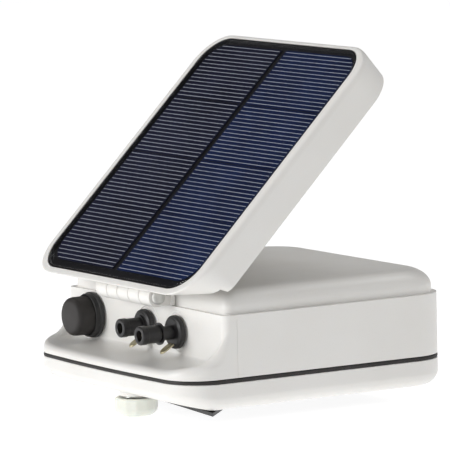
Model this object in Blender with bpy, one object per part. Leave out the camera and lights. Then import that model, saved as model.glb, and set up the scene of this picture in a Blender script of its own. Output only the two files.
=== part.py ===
"""Solar fence energizer: a sealed box with a folding solar panel, a push-button and two output terminals.

Metres, +Z up. The origin is the centre of the black mounting plate's underside. The front, with the
button and the terminals, faces -Y. The panel turns about the hinge pin, parallel to X.
"""

import math

import bmesh
import bpy
from mathutils import Vector

MM = 0.001
GAP = 0.3 * MM

# Casing
HALF_W = 65.0 * MM
FRONT_Y = -67.0 * MM
REAR_Y = 67.0 * MM
CORNER_R = 17.0 * MM
FRONT_BOW = 1.5 * MM
SEAL_Z = 14.6 * MM
SEAL_HALF = 0.65 * MM
WALL = 2.4 * MM
BASE_DEPTH = 12.8 * MM
BASE_NOSE_RISE = 3.4 * MM
LEDGE_IN = 2.2 * MM
FACE_Y = -47.0 * MM
CHEEK_R = 3.5 * MM
FACE_DISH = 0.8 * MM

# Mounting plate and thumb screw
PLATE_T = 1.5 * MM
# The right half of the plate's outline, from the notch round to the rear, in mm.
PLATE_RIGHT = [(62.0, -51.8), (44.0, -34.0), (44.0, 56.0)]
PLATE_LEFT = [(-44.0, 56.0), (-44.0, -34.0), (-36.0, -41.0)]
PLATE_NOTCH_Y = -46.0
PLATE_NOTCH_R = 12.0
PLATE_NOTCH_DEPTH = 8.0
PLATE_SLOTS = (-8.0 * MM, 22.0 * MM)
KNOB_Y = -52.0 * MM
KNOB_SIDES = 12
KNOB_LOBE = 0.965
# The thumb knob's (radius, height) steps in mm.
KNOB_STEPS = [(6.2, -6.8), (8.3, -5.6), (9.25, -3.6), (9.25, 0.5), (8.6, 1.1)]

# Solar panel, in the panel's own frame: the pin is its origin and it lies flat
PANEL_TILT = math.radians(45.0)
PIN_Y = -53.3 * MM
PIN_Z = SEAL_Z + 31.5 * MM
PANEL_HALF_W = 65.0 * MM
PANEL_FACE = 12.7 * MM
PANEL_FRONT = -6.7 * MM
PANEL_REAR = 132.0 * MM
PANEL_RIM = -2.8 * MM
PANEL_CEILING = 7.4 * MM
PANEL_SKIRT = 1.9 * MM
PANEL_CORNER = 17.0 * MM
PANEL_CORNER_LOW = 5.0 * MM
PANEL_CORNER_REAR = 17.0 * MM
REAR_DRAFT = 0.08
PANEL_EDGE_STRAIGHT = 9.5 * MM
NOSE_SLOPE = 1.04
MOUTH = (126.2 * MM, 38.0 * MM, 13.0 * MM)
MOUTH_AT = (0.0, 13.0 * MM, -6.0 * MM)
HINGE_MOUTH = (66.0 * MM, 38.0 * MM, 13.0 * MM)
HINGE_MOUTH_AT = (0.0, 13.0 * MM, -4.0 * MM)
POCKET_HALF_W = 60.6 * MM
POCKET_FRONT = -2.6 * MM
POCKET_REAR = 129.4 * MM
POCKET_FLOOR = 9.2 * MM
POCKET_R = 13.5 * MM
POCKET_R_REAR = 14.0 * MM
CELL_CORNER = 8.0 * MM
CELL_GAP_X = -2.6 * MM
CELL_GAP = 3.8 * MM
CELL_T = 0.35 * MM
BARREL_R = 4.3 * MM
KNUCKLE_SPAN = 44.6 * MM
KNUCKLES = 5
KNUCKLE_GAP = 0.4 * MM
PIN_R = 1.5 * MM
LEAD_X = -28.0 * MM
LEAD_H = 30.3 * MM

# Front controls
CONTROL_Z = SEAL_Z + 16.8 * MM
BUTTON_X = -42.8 * MM
POSTS = {"left": (2.2 * MM, 0.0, 11.9 * MM), "right": (27.6 * MM, 5.6 * MM, 17.8 * MM)}
FLANGE_R = 7.1 * MM
POST_R = 1.6 * MM
SLEEVE_R = 3.0 * MM
# The lug in mm: its eye, and its toe as half its width, how far forward and how far below the axis.
LUG_R = 5.1
LUG_LOW = 3.2
LUG_HIGH = 3.9
TOE_STEPS = [(2.0, 3.3, 5.1), (2.0, 4.9, 5.9), (2.0, 8.5, 8.1), (1.1, 9.4, 8.7)]
TOE_T = 0.8

# Inner parts
BATTERY = (98.0 * MM, 66.0 * MM, 33.0 * MM)
BATTERY_Y = 27.0 * MM
BOARD = (96.0 * MM, 30.0 * MM, 1.6 * MM)
BOARD_Y = -24.5 * MM
BOARD_Z = SEAL_Z + 2.0 * MM
FLOOR_Z = SEAL_Z - BASE_DEPTH + WALL
BASE_SCREWS = [(x * MM, y * MM) for x in (-54.0, 54.0) for y in (-37.0, 50.0)]


def clear_scene():
    """Removes everything that the startup scene holds."""
    for obj in list(bpy.data.objects):
        bpy.data.objects.remove(obj, do_unlink=True)


def make_material(name, colour, roughness, metallic=0.0):
    """One Principled material."""
    mat = bpy.data.materials.new(name)
    mat.use_nodes = True
    shader = mat.node_tree.nodes["Principled BSDF"]
    shader.inputs["Base Color"].default_value = (*colour, 1.0)
    shader.inputs["Roughness"].default_value = roughness
    shader.inputs["Metallic"].default_value = metallic
    return mat


def place(obj, mat, location=(0, 0, 0), rotation=(0, 0, 0), parent=None, sharp=35.0):
    """Sets an object's finish, place, parent and shading."""
    obj.data.materials.append(mat)
    obj.location = location
    obj.rotation_euler = rotation
    obj.parent = parent
    obj.data.shade_smooth()
    obj.data.set_sharp_from_angle(angle=math.radians(sharp))
    return obj


def mesh_object(name, points, faces):
    """An object from points and faces, with its normals turned outwards."""
    mesh = bpy.data.meshes.new(name)
    mesh.from_pydata([tuple(p) for p in points], [], faces)
    shape = bmesh.new()
    shape.from_mesh(mesh)
    bmesh.ops.recalc_face_normals(shape, faces=shape.faces)
    shape.to_mesh(mesh)
    shape.free()
    obj = bpy.data.objects.new(name, mesh)
    bpy.context.scene.collection.objects.link(obj)
    return obj


def loft(name, rings, closed=False):
    """Joins rings of equal length, with a cap at each end unless the rings close on themselves."""
    count = len(rings[0])
    points = [p for ring in rings for p in ring]
    faces = []
    spans = len(rings) if closed else len(rings) - 1
    for k in range(spans):
        here = k * count
        there = (k + 1) % len(rings) * count
        for i in range(count):
            j = (i + 1) % count
            faces.append((here + i, here + j, there + j, there + i))
    if not closed:
        faces.append(tuple(range(count)))
        faces.append(tuple(range((len(rings) - 1) * count, len(rings) * count)))
    return mesh_object(name, points, faces)


def turned(name, profile, steps=24, hollow=False):
    """A turned piece about Z from (radius, height) points. A hollow one closes its profile on itself."""
    rings = []
    for radius, height in profile:
        turn = [2 * math.pi * i / steps for i in range(steps)]
        rings.append([(radius * math.cos(a), radius * math.sin(a), height) for a in turn])
    return loft(name, rings, closed=hollow)


def box(name, size, bevel=0.0, at=(0, 0, 0)):
    """A box about a point of its own frame, with an optional bevel."""
    shape = bmesh.new()
    bmesh.ops.create_cube(shape, size=1.0)
    bmesh.ops.scale(shape, vec=size, verts=shape.verts)
    if bevel:
        bmesh.ops.bevel(shape, geom=shape.edges[:], offset=bevel, segments=2, profile=0.5, affect="EDGES")
    bmesh.ops.translate(shape, vec=at, verts=shape.verts)
    mesh = bpy.data.meshes.new(name)
    shape.to_mesh(mesh)
    shape.free()
    obj = bpy.data.objects.new(name, mesh)
    bpy.context.scene.collection.objects.link(obj)
    return obj


def extruded(name, outline, bottom, top):
    """A flat outline of (x, y) points, extruded from one height to another."""
    return loft(name, [[(x, y, bottom) for x, y in outline], [(x, y, top) for x, y in outline]])


def boolean(target, tool, operation="DIFFERENCE"):
    """Cuts a tool from a target, or joins it on, and hides the tool."""
    modifier = target.modifiers.new(tool.name, "BOOLEAN")
    modifier.operation = operation
    modifier.solver = "EXACT"
    modifier.object = tool
    tool.hide_render = True
    tool.display_type = "WIRE"
    tool.parent = target


def wire(name, route, radius, mat, parent=None):
    """A flexible lead along a smooth curve through its route."""
    curve = bpy.data.curves.new(name, "CURVE")
    curve.dimensions = "3D"
    curve.bevel_depth = radius
    curve.bevel_resolution = 2
    curve.use_fill_caps = True
    samples = smooth_route(route, 6)
    spline = curve.splines.new("POLY")
    spline.points.add(len(samples) - 1)
    for point, place_at in zip(spline.points, samples):
        point.co = (*place_at, 1.0)
    curve.materials.append(mat)
    obj = bpy.data.objects.new(name, curve)
    obj.parent = parent
    bpy.context.scene.collection.objects.link(obj)
    return obj


def smooth_route(route, per_span):
    """Points along a Catmull-Rom curve through the route's points."""
    ends = [route[0], *route, route[-1]]
    samples = []
    for k in range(len(route) - 1):
        a, b, c, d = (Vector(p) for p in ends[k : k + 4])
        for i in range(per_span):
            t = i / per_span
            square = (2 * a - 5 * b + 4 * c - d) * t**2
            cube = (3 * b - a - 3 * c + d) * t**3
            samples.append((2 * b + (c - a) * t + square + cube) / 2)
    samples.append(Vector(route[-1]))
    return samples


def plan(half_w, front, rear, front_r, rear_r, bow, edge_steps=8, arc_steps=5):
    """A rounded rectangle as (x, y) points, anticlockwise from the front left, with a bowed front edge."""
    points = []
    flat = half_w - front_r
    for i in range(edge_steps):
        x = -flat + 2 * flat * i / edge_steps
        points.append((x, front - bow * (1 - (x / flat) ** 2)))
    corners = [
        (half_w - front_r, front + front_r, front_r, -90),
        (half_w - rear_r, rear - rear_r, rear_r, 0),
        (-half_w + rear_r, rear - rear_r, rear_r, 90),
        (-half_w + front_r, front + front_r, front_r, 180),
    ]
    for k, (cx, cy, r, start) in enumerate(corners):
        for i in range(arc_steps + 1):
            a = math.radians(start + 90.0 * i / arc_steps)
            points.append((cx + r * math.cos(a), cy + r * math.sin(a)))
        if k < 3:
            nx, ny = corners[k + 1][0], corners[k + 1][1]
            turn = math.radians(start + 90)
            last = points[-1]
            following = (nx + corners[k + 1][2] * math.cos(turn), ny + corners[k + 1][2] * math.sin(turn))
            for i in range(1, 4):
                t = i / 4
                along = last[0] + (following[0] - last[0]) * t
                points.append((along, last[1] + (following[1] - last[1]) * t))
    return points[:-1]


# The front of the housing, from the seal up: how far in from the nose, and how high above the seal,
# in the middle of the face and beside its cheeks.
FACE_MIDDLE = [(0, 0.95), (0, 2.4), (0.7, 3.9), (2.4, 4.6), (8.0, 5.0)]
FACE_MIDDLE += [(13.0, 5.3), (17.0, 5.6), (19.2, 6.2), (20, 7.4), (20, 27.1)]
FACE_CHEEK = [(0, 0.95), (0, 2.8), (0.8, 4.8), (3.0, 6.3), (7.9, 7.6)]
FACE_CHEEK += [(11.4, 9.4), (15.4, 13.6), (18.4, 18.0), (20, 21.0), (20, 27.1)]
CROWN_STEPS = [(0, 27.1), (0, 30.0), (0.8, 33.0), (2.7, 35.4), (5.6, 37.0), (9.6, 37.6)]


# The base's (inset, depth) steps from the seal down, outside and inside, in mm.
BASE_OUTSIDE = [(0, 0.95), (0, 6.6), (0.8, 9.2), (2.6, 11.3), (5.0, 12.4), (8.5, 12.8), (17.5, 12.8)]
BASE_INSIDE = [(0, 0.95), (0, 5.5), (1.2, 8.4), (3.6, 10.0), (7.0, 10.4), (15.1, 10.4)]


def front_weight(x):
    """0 in the middle of the face, rising to 1 at its cheeks."""
    t = min(1.0, max(0.0, (abs(x) - 40 * MM) / (24 * MM)))
    return t * t * (3 - 2 * t)


def housing_skin(inward, lower):
    """The rings of one skin of the housing, from the seal up to the crown's top."""
    corner = CORNER_R - inward
    nose = plan(HALF_W - inward, FRONT_Y + inward, REAR_Y - inward, corner, corner, FRONT_BOW)
    upper = plan(HALF_W - inward, FACE_Y + inward, REAR_Y - inward, CHEEK_R, CORNER_R - inward, -FACE_DISH)
    rings = []
    for middle, cheek in zip(FACE_MIDDLE, FACE_CHEEK):
        ring = []
        for (x0, y0), (x1, y1) in zip(nose, upper):
            w = front_weight(x0)
            share = (middle[0] + (cheek[0] - middle[0]) * w) / 20.0
            height = (middle[1] + (cheek[1] - middle[1]) * w) * MM - lower
            ring.append((x0 + (x1 - x0) * share, y0 + (y1 - y0) * share, SEAL_Z + max(height, 0.95 * MM)))
        rings.append(ring)
    for inset, height in CROWN_STEPS:
        edge = inward + LEDGE_IN + inset * MM
        outline = plan(HALF_W - edge, FACE_Y + edge, REAR_Y - edge, CHEEK_R, CORNER_R - LEDGE_IN, 0.0)
        rings.append([(x, y, SEAL_Z + height * MM - lower) for x, y in outline])
    return rings


def make_housing(mats):
    """The upper casing: a shell with a scooped front, a ledge and a crown, bosses and holes."""
    outer = housing_skin(0.0, 0.0)
    inner = housing_skin(WALL, WALL)
    housing = loft("main_housing", inner[::-1] + outer)
    for k, (x, y) in enumerate(BASE_SCREWS):
        boss = turned(f"housing_boss_{k}", [(3.6 * MM, 3.0 * MM), (3.6 * MM, 35.9 * MM)], 16)
        boss.location = (x, y, SEAL_Z)
        boolean(housing, boss, "UNION")
        pilot = turned(f"housing_pilot_{k}", [(1.7 * MM, 0.0), (1.7 * MM, 16.0 * MM)], 12)
        pilot.location = (x, y, SEAL_Z)
        boolean(housing, pilot)
    holes = [(BUTTON_X, 5.6 * MM)] + [(x, 3.9 * MM) for x, _, _ in POSTS.values()]
    for k, (x, radius) in enumerate(holes):
        hole = turned(f"face_hole_{k}", [(radius, -8 * MM), (radius, 8 * MM)], 20)
        hole.location = (x, FACE_Y, CONTROL_Z)
        hole.rotation_euler = (math.radians(90), 0, 0)
        boolean(housing, hole)
    for k, x in enumerate((-11.2 * MM, 11.2 * MM)):
        hole = turned(f"bracket_hole_{k}", [(1.2 * MM, -9 * MM), (1.2 * MM, 5 * MM)], 10)
        hole.location = (x, FACE_Y, SEAL_Z + 29.4 * MM)
        hole.rotation_euler = (math.radians(90), 0, 0)
        boolean(housing, hole)
    hole = turned("lead_hole", [(2.2 * MM, -9 * MM), (2.2 * MM, 5 * MM)], 16)
    hole.location = (LEAD_X, FACE_Y, SEAL_Z + LEAD_H)
    hole.rotation_euler = (math.radians(90), 0, 0)
    boolean(housing, hole)
    return place(housing, mats["white"])


def base_height(y):
    """How much of the base's full depth is left at this y: the nose rises towards the front."""
    t = min(1.0, max(0.0, (-50 * MM - y) / (14 * MM)))
    return 1.0 - (BASE_NOSE_RISE / BASE_DEPTH) * t


def base_skin(inward, steps):
    """The rings of one skin of the base, from the seal down."""
    rings = []
    for inset, depth in steps:
        edge = inward + inset * MM
        corner = max(CORNER_R - edge, 2 * MM)
        outline = plan(HALF_W - edge, FRONT_Y + edge, REAR_Y - edge, corner, corner, FRONT_BOW)
        rings.append([(x, y, SEAL_Z - depth * MM * base_height(y)) for x, y in outline])
    return rings


def make_base(mats):
    """The lower casing: a shallow tray with screw bosses and the thumb screw's boss."""
    outer = base_skin(0.0, BASE_OUTSIDE)
    inner = base_skin(WALL, BASE_INSIDE)
    base = loft("base_tray", inner[::-1] + outer)
    for k, (x, y) in enumerate(BASE_SCREWS):
        boss = turned(f"base_boss_{k}", [(4.0 * MM, -11.5 * MM), (4.0 * MM, 2.7 * MM)], 16)
        boss.location = (x, y, SEAL_Z)
        boolean(base, boss, "UNION")
        profile = [(3.1 * MM, -16 * MM), (3.1 * MM, -9.4 * MM), (1.9 * MM, -8.6 * MM), (1.9 * MM, 5 * MM)]
        bore = turned(f"base_bore_{k}", profile, 16)
        bore.location = (x, y, SEAL_Z)
        boolean(base, bore)
    profile = [(6.9 * MM, -12.6 * MM), (6.9 * MM, -9 * MM), (5.5 * MM, -8.5 * MM), (5.5 * MM, -1.5 * MM)]
    boss = turned("thumb_boss", profile, 24)
    boss.location = (0, KNOB_Y, SEAL_Z)
    boolean(base, boss, "UNION")
    bore = turned("thumb_bore", [(3.3 * MM, -20 * MM), (3.3 * MM, -3.5 * MM)], 16)
    bore.location = (0, KNOB_Y, SEAL_Z)
    boolean(base, bore)
    for k, (x, y) in enumerate(plate_screw_places()):
        pilot = turned(f"plate_pilot_{k}", [(1.5 * MM, -14 * MM), (1.5 * MM, -11.2 * MM)], 12)
        pilot.location = (x, y, SEAL_Z)
        boolean(base, pilot)
    return place(base, mats["white"])


def make_gasket(mats):
    """The black seal between the two casings."""
    rings = []
    for edge, height in ((0, -1), (0, 1), (2.2, 1), (2.2, -1)):
        inset = edge * MM
        corner = CORNER_R - inset
        outline = plan(HALF_W - inset, FRONT_Y + inset, REAR_Y - inset, corner, corner, FRONT_BOW)
        rings.append([(x, y, SEAL_Z + height * SEAL_HALF) for x, y in outline])
    return place(loft("base_gasket", rings, closed=True), mats["rubber"])


def plate_screw_places():
    """The mounting plate's four screws."""
    return [(x * MM, y * MM) for x in (-34, 34) for y in (-30, 40)]


def make_plate(mats):
    """The black steel plate under the base, with a notch for the thumb screw and two bolt slots."""
    outline = list(PLATE_LEFT)
    for i in range(9):
        a = math.pi * (1 - i / 8)
        outline.append((PLATE_NOTCH_R * math.cos(a), PLATE_NOTCH_Y + PLATE_NOTCH_DEPTH * math.sin(a)))
    outline += PLATE_RIGHT
    plate = extruded("mounting_plate", [(x * MM, y * MM) for x, y in outline], 0.0, PLATE_T)
    for k, (x, y) in enumerate(plate_screw_places()):
        profile = [(3.5 * MM, -1 * MM), (3.5 * MM, 0.2 * MM), (2.2 * MM, 1.2 * MM), (2.2 * MM, 3 * MM)]
        sink = turned(f"plate_sink_{k}", profile, 16)
        sink.location = (x, y, 0)
        boolean(plate, sink)
    for k, y in enumerate(PLATE_SLOTS):
        slot = box(f"plate_slot_{k}", (14 * MM, 6.4 * MM, 6 * MM))
        slot.location = (0, y, 0)
        boolean(plate, slot)
    return place(plate, mats["steel_black"])


def screw_mesh(name, head_r, head_t, shank_r, length, recess_r):
    """A screw pointing along +Z with its head at the origin and a cross recess's round well."""
    profile = [
        (recess_r * 0.4, head_t * 0.5),
        (recess_r, 0.0),
        (head_r, 0.0),
        (head_r, head_t * 0.25),
        (shank_r, head_t),
        (shank_r, length - shank_r),
        (shank_r * 0.3, length),
    ]
    return turned(name, profile, 12)


def make_screws(mats):
    """The casing's, the plate's and the bracket's screws."""
    for k, (x, y) in enumerate(BASE_SCREWS):
        screw = screw_mesh(f"base_screw_{k + 1}", 2.8 * MM, 2.2 * MM, 1.35 * MM, 22 * MM, 1.4 * MM)
        place(screw, mats["steel"], (x, y, SEAL_Z - 12.2 * MM))
    for k, (x, y) in enumerate(plate_screw_places()):
        screw = screw_mesh(f"plate_screw_{k + 1}", 2.9 * MM, 1.5 * MM, 1.2 * MM, 3.0 * MM, 1.2 * MM)
        place(screw, mats["steel_black"], (x, y, 0.1 * MM))
    for k, x in enumerate((-11.2 * MM, 11.2 * MM)):
        screw = screw_mesh(f"bracket_screw_{k + 1}", 2.0 * MM, 0.9 * MM, 0.9 * MM, 7.0 * MM, 0.9 * MM)
        place(screw, mats["steel"], (x, -48.2 * MM, SEAL_Z + 29.4 * MM), (math.radians(-90), 0, 0))


def make_thumb_screw(mats):
    """The knob, its steel stud and the washer that rides with it."""
    pivot = bpy.data.objects.new("thumb_pivot", None)
    pivot.location = (0, KNOB_Y, 0)
    bpy.context.scene.collection.objects.link(pivot)
    rings = []
    for radius, height in KNOB_STEPS:
        ring = []
        for i in range(2 * KNOB_SIDES):
            a = math.pi * i / KNOB_SIDES
            r = radius * (1.0 if i % 2 else KNOB_LOBE)
            ring.append((r * MM * math.cos(a), r * MM * math.sin(a), height * MM))
        rings.append(ring)
    knob = loft("thumb_knob", rings)
    bore = turned("knob_bore", [(3.3 * MM, -2.6 * MM), (3.3 * MM, 4 * MM)], 16)
    boolean(knob, bore)
    place(knob, mats["white_soft"], parent=pivot)
    stud = turned("thumb_stud", [(2.9 * MM, -2.2 * MM), (2.9 * MM, 8.4 * MM), (2.3 * MM, 9.2 * MM)], 16)
    place(stud, mats["steel"], parent=pivot)
    ring = [(3.4 * MM, 1.4 * MM), (6.4 * MM, 1.4 * MM), (6.4 * MM, 1.75 * MM), (3.4 * MM, 1.75 * MM)]
    place(turned("thumb_washer", ring, 24, hollow=True), mats["steel"], parent=pivot)


def panel_outline(half_w, front, rear, front_r, rear_r):
    """A panel outline in the panel's own frame."""
    return plan(half_w, front, rear, front_r, rear_r, 0.0, 6, 6)


def panel_ring(inset, height):
    """One ring of the panel frame's outside: going down, the nose slopes back and its corners sharpen."""
    front = PANEL_FRONT + inset + (PANEL_FACE - height) * NOSE_SLOPE
    share = min(1.0, (height - PANEL_RIM) / (PANEL_EDGE_STRAIGHT - PANEL_RIM))
    corner = PANEL_CORNER_LOW + (PANEL_CORNER - PANEL_CORNER_LOW) * share - inset
    rear = PANEL_REAR - inset - (PANEL_FACE - height) * REAR_DRAFT
    outline = panel_outline(PANEL_HALF_W - inset, front, rear, corner, PANEL_CORNER_REAR - inset)
    return [(x, y, height) for x, y in outline]


def pocket_outline(inset):
    """The outline of the pocket for the solar cells, drawn in by some inset."""
    return panel_outline(
        POCKET_HALF_W - inset,
        POCKET_FRONT + inset,
        POCKET_REAR - inset,
        POCKET_R - inset,
        POCKET_R_REAR - inset,
    )


def make_panel_frame(mats, pivot):
    """The panel's white frame: a pocket above for the solar cells, and a hollow skirt below."""
    steps = (
        (0.0, PANEL_RIM),
        (0.0, PANEL_EDGE_STRAIGHT),
        (0.4 * MM, PANEL_FACE - 1.1 * MM),
        (1.1 * MM, PANEL_FACE - 0.25 * MM),
        (2.1 * MM, PANEL_FACE),
    )
    outside = [panel_ring(*step) for step in steps]
    skirt = [panel_ring(PANEL_SKIRT, PANEL_RIM), panel_ring(PANEL_SKIRT, PANEL_CEILING)]
    cup = [[(x, y, height) for x, y in pocket_outline(0.0)] for height in (PANEL_FACE, POCKET_FLOOR)]
    frame = loft("panel_frame", skirt[::-1] + outside + cup)
    mouth = box("panel_mouth", MOUTH)
    mouth.location = MOUTH_AT
    boolean(frame, mouth)
    hinge_mouth = box("panel_hinge_mouth", HINGE_MOUTH)
    hinge_mouth.location = HINGE_MOUTH_AT
    boolean(frame, hinge_mouth)
    for k in (1, 3):
        centre = knuckle_centre(k)
        width = knuckle_width()
        barrel = turned(f"frame_knuckle_{k}", [(BARREL_R, -width / 2), (BARREL_R, width / 2)], 20)
        barrel.rotation_euler = (0, math.radians(90), 0)
        barrel.location = (centre, 0, 0)
        boolean(frame, barrel, "UNION")
        web = box(f"frame_web_{k}", (width, 6.6 * MM, 7.2 * MM))
        web.rotation_euler = (math.radians(-42), 0, 0)
        web.location = (centre, 0.665 * 3.2 * MM, 0.747 * 3.2 * MM)
        boolean(frame, web, "UNION")
    pin_hole = turned("frame_pin_hole", [(PIN_R + GAP, -30 * MM), (PIN_R + GAP, 30 * MM)], 16)
    pin_hole.rotation_euler = (0, math.radians(90), 0)
    boolean(frame, pin_hole)
    lead_hole = turned("frame_lead_hole", [(1.4 * MM, 6 * MM), (1.4 * MM, 11 * MM)], 12)
    lead_hole.location = (LEAD_X, 20 * MM, 0)
    boolean(frame, lead_hole)
    place(frame, mats["white"], parent=pivot)


def cell_outline(left, right, front, rear):
    """A column of cells as (x, y) points, with its two outer corners cut to follow the pocket."""
    cut = CELL_CORNER
    part = cut / 3
    if right > 0:
        lower = [(left, front), (right - cut, front), (right - part, front + part), (right, front + cut)]
        upper = [(right, rear - cut), (right - part, rear - part), (right - cut, rear), (left, rear)]
    else:
        lower = [(left, front + cut), (left + part, front + part), (left + cut, front), (right, front)]
        upper = [(right, rear), (left + cut, rear), (left + part, rear - part), (left, rear - cut)]
    return lower + upper


def make_panel(mats):
    """The tilting solar panel, on an empty on the hinge pin's axis."""
    pivot = bpy.data.objects.new("panel_pivot", None)
    pivot.location = (0, PIN_Y, PIN_Z)
    pivot.rotation_euler = (PANEL_TILT, 0, 0)
    bpy.context.scene.collection.objects.link(pivot)
    make_panel_frame(mats, pivot)
    board = extruded("panel_board", pocket_outline(GAP), POCKET_FLOOR + GAP, POCKET_FLOOR + 1.5 * MM)
    place(board, mats["board_black"], parent=pivot)
    low = POCKET_FLOOR + 1.8 * MM
    cell_front = POCKET_FRONT + 4.4 * MM
    cell_rear = POCKET_REAR - 2.6 * MM
    edges = ((-58.4 * MM, CELL_GAP_X - CELL_GAP / 2), (CELL_GAP_X + CELL_GAP / 2, 57.4 * MM))
    for side, (left, right) in zip(("left", "right"), edges):
        outline = cell_outline(left, right, cell_front, cell_rear)
        cell = extruded(f"solar_cells_{side}", outline, low, low + CELL_T)
        place(cell, mats["cell"], parent=pivot)
    rings = []
    glazing = ((0.0, low + 0.65 * MM), (0.0, PANEL_FACE - 0.1 * MM), (1.6 * MM, PANEL_FACE + 0.35 * MM))
    for inset, height in glazing:
        rings.append([(x, y, height) for x, y in pocket_outline(GAP + inset)])
    place(loft("panel_glazing", rings), mats["glaze"], parent=pivot)
    tail = turned("panel_lead_tail", [(1.0 * MM, 6.7 * MM), (1.0 * MM, 9.3 * MM)], 10)
    place(tail, mats["rubber"], (LEAD_X, 20 * MM, 0), parent=pivot)


def knuckle_width():
    """The width of one hinge knuckle."""
    return KNUCKLE_SPAN / KNUCKLES - KNUCKLE_GAP


def knuckle_centre(k):
    """The x of one hinge knuckle's middle, from the left."""
    return KNUCKLE_SPAN * ((k + 0.5) / KNUCKLES - 0.5)


def make_hinge(mats):
    """The fixed bracket with three knuckles, the pin, its push nut and a spring washer."""
    middle = (0, -46.25 * MM, SEAL_Z + 30.15 * MM)
    bracket = box("hinge_bracket", (KNUCKLE_SPAN + 2 * MM, 2.0 * MM, 5.4 * MM), 0.3 * MM, middle)
    for k in (0, 2, 4):
        width = knuckle_width()
        barrel = turned(f"bracket_knuckle_{k}", [(BARREL_R, -width / 2), (BARREL_R, width / 2)], 20)
        barrel.rotation_euler = (0, math.radians(90), 0)
        barrel.location = (knuckle_centre(k), PIN_Y, PIN_Z)
        boolean(bracket, barrel, "UNION")
        arm = box(f"bracket_arm_{k}", (width, 6.6 * MM, 4.0 * MM))
        arm.location = (knuckle_centre(k), -50.0 * MM, SEAL_Z + 29.55 * MM)
        boolean(bracket, arm, "UNION")
    hole = turned("bracket_pin_hole", [(PIN_R + GAP, -30 * MM), (PIN_R + GAP, 30 * MM)], 16)
    hole.rotation_euler = (0, math.radians(90), 0)
    hole.location = (0, PIN_Y, PIN_Z)
    boolean(bracket, hole)
    for k, x in enumerate((-11.2 * MM, 11.2 * MM)):
        profile = [(2.4 * MM, -3 * MM), (2.4 * MM, 0.2 * MM), (1.25 * MM, 1.0 * MM), (1.25 * MM, 4 * MM)]
        hole = turned(f"bracket_sink_{k}", profile, 12)
        hole.location = (x, -48.2 * MM, SEAL_Z + 29.4 * MM)
        hole.rotation_euler = (math.radians(-90), 0, 0)
        boolean(bracket, hole)
    place(bracket, mats["white"])
    end = KNUCKLE_SPAN / 2
    pin_profile = [
        (2.6 * MM, -end - 1.9 * MM),
        (3.1 * MM, -end - 1.3 * MM),
        (3.1 * MM, -end - 0.2 * MM),
        (PIN_R, -end - 0.2 * MM),
        (PIN_R, end + 2.2 * MM),
        (PIN_R * 0.6, end + 2.6 * MM),
    ]
    across = (0, math.radians(-90), 0)
    place(turned("hinge_pin", pin_profile, 16), mats["steel"], (0, PIN_Y, PIN_Z), across)
    bore = PIN_R + GAP
    nut_low = end + 1.0 * MM
    nut_high = end + 1.8 * MM
    nut = [(bore, nut_low), (3.1 * MM, nut_low), (2.6 * MM, nut_high), (bore, nut_high)]
    place(turned("pin_push_nut", nut, 16, hollow=True), mats["steel"], (0, PIN_Y, PIN_Z), across)
    washer_low = end + 0.1 * MM
    washer_high = end + 0.7 * MM
    washer = [(bore, washer_low), (3.4 * MM, washer_low), (3.4 * MM, washer_high), (bore, washer_high)]
    place(turned("hinge_washer", washer, 16, hollow=True), mats["steel"], (0, PIN_Y, PIN_Z), across)


FORWARD = (math.radians(90), 0, 0)


def make_button(mats):
    """The push-button: a rubber boot on a plunger, its nut and the switch body behind the face."""
    at = (BUTTON_X, FACE_Y + FACE_DISH, CONTROL_Z)
    nut = [(9.9, 0.9), (9.9, 2.4), (9.4, 2.9), (9.4, 4.4), (8.8, 4.9), (8.8, 0.9)]
    nut_points = [(r * MM, h * MM) for r, h in nut]
    place(turned("switch_nut", nut_points, 24, hollow=True), mats["plastic_black"], at, FORWARD)
    boot = [(3.6, 5.0), (3.6, 3.0), (8.4, 3.0), (8.4, 10.6), (7.9, 12.2), (6.6, 13.2), (3.2, 13.6)]
    place(turned("switch_boot", [(r * MM, h * MM) for r, h in boot], 28), mats["rubber"], at, FORWARD)
    plunger = [(3.2 * MM, -6.0 * MM), (3.2 * MM, 4.7 * MM)]
    place(turned("switch_plunger", plunger, 16), mats["plastic_grey"], at, FORWARD)
    body = [(7.2, -20.0), (7.2, -3.3), (5.3, -3.3), (5.3, 0.2), (3.6, 0.2), (3.6, -8.6)]
    place(turned("switch_body", [(r * MM, h * MM) for r, h in body], 20), mats["plastic_grey"], at, FORWARD)


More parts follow.
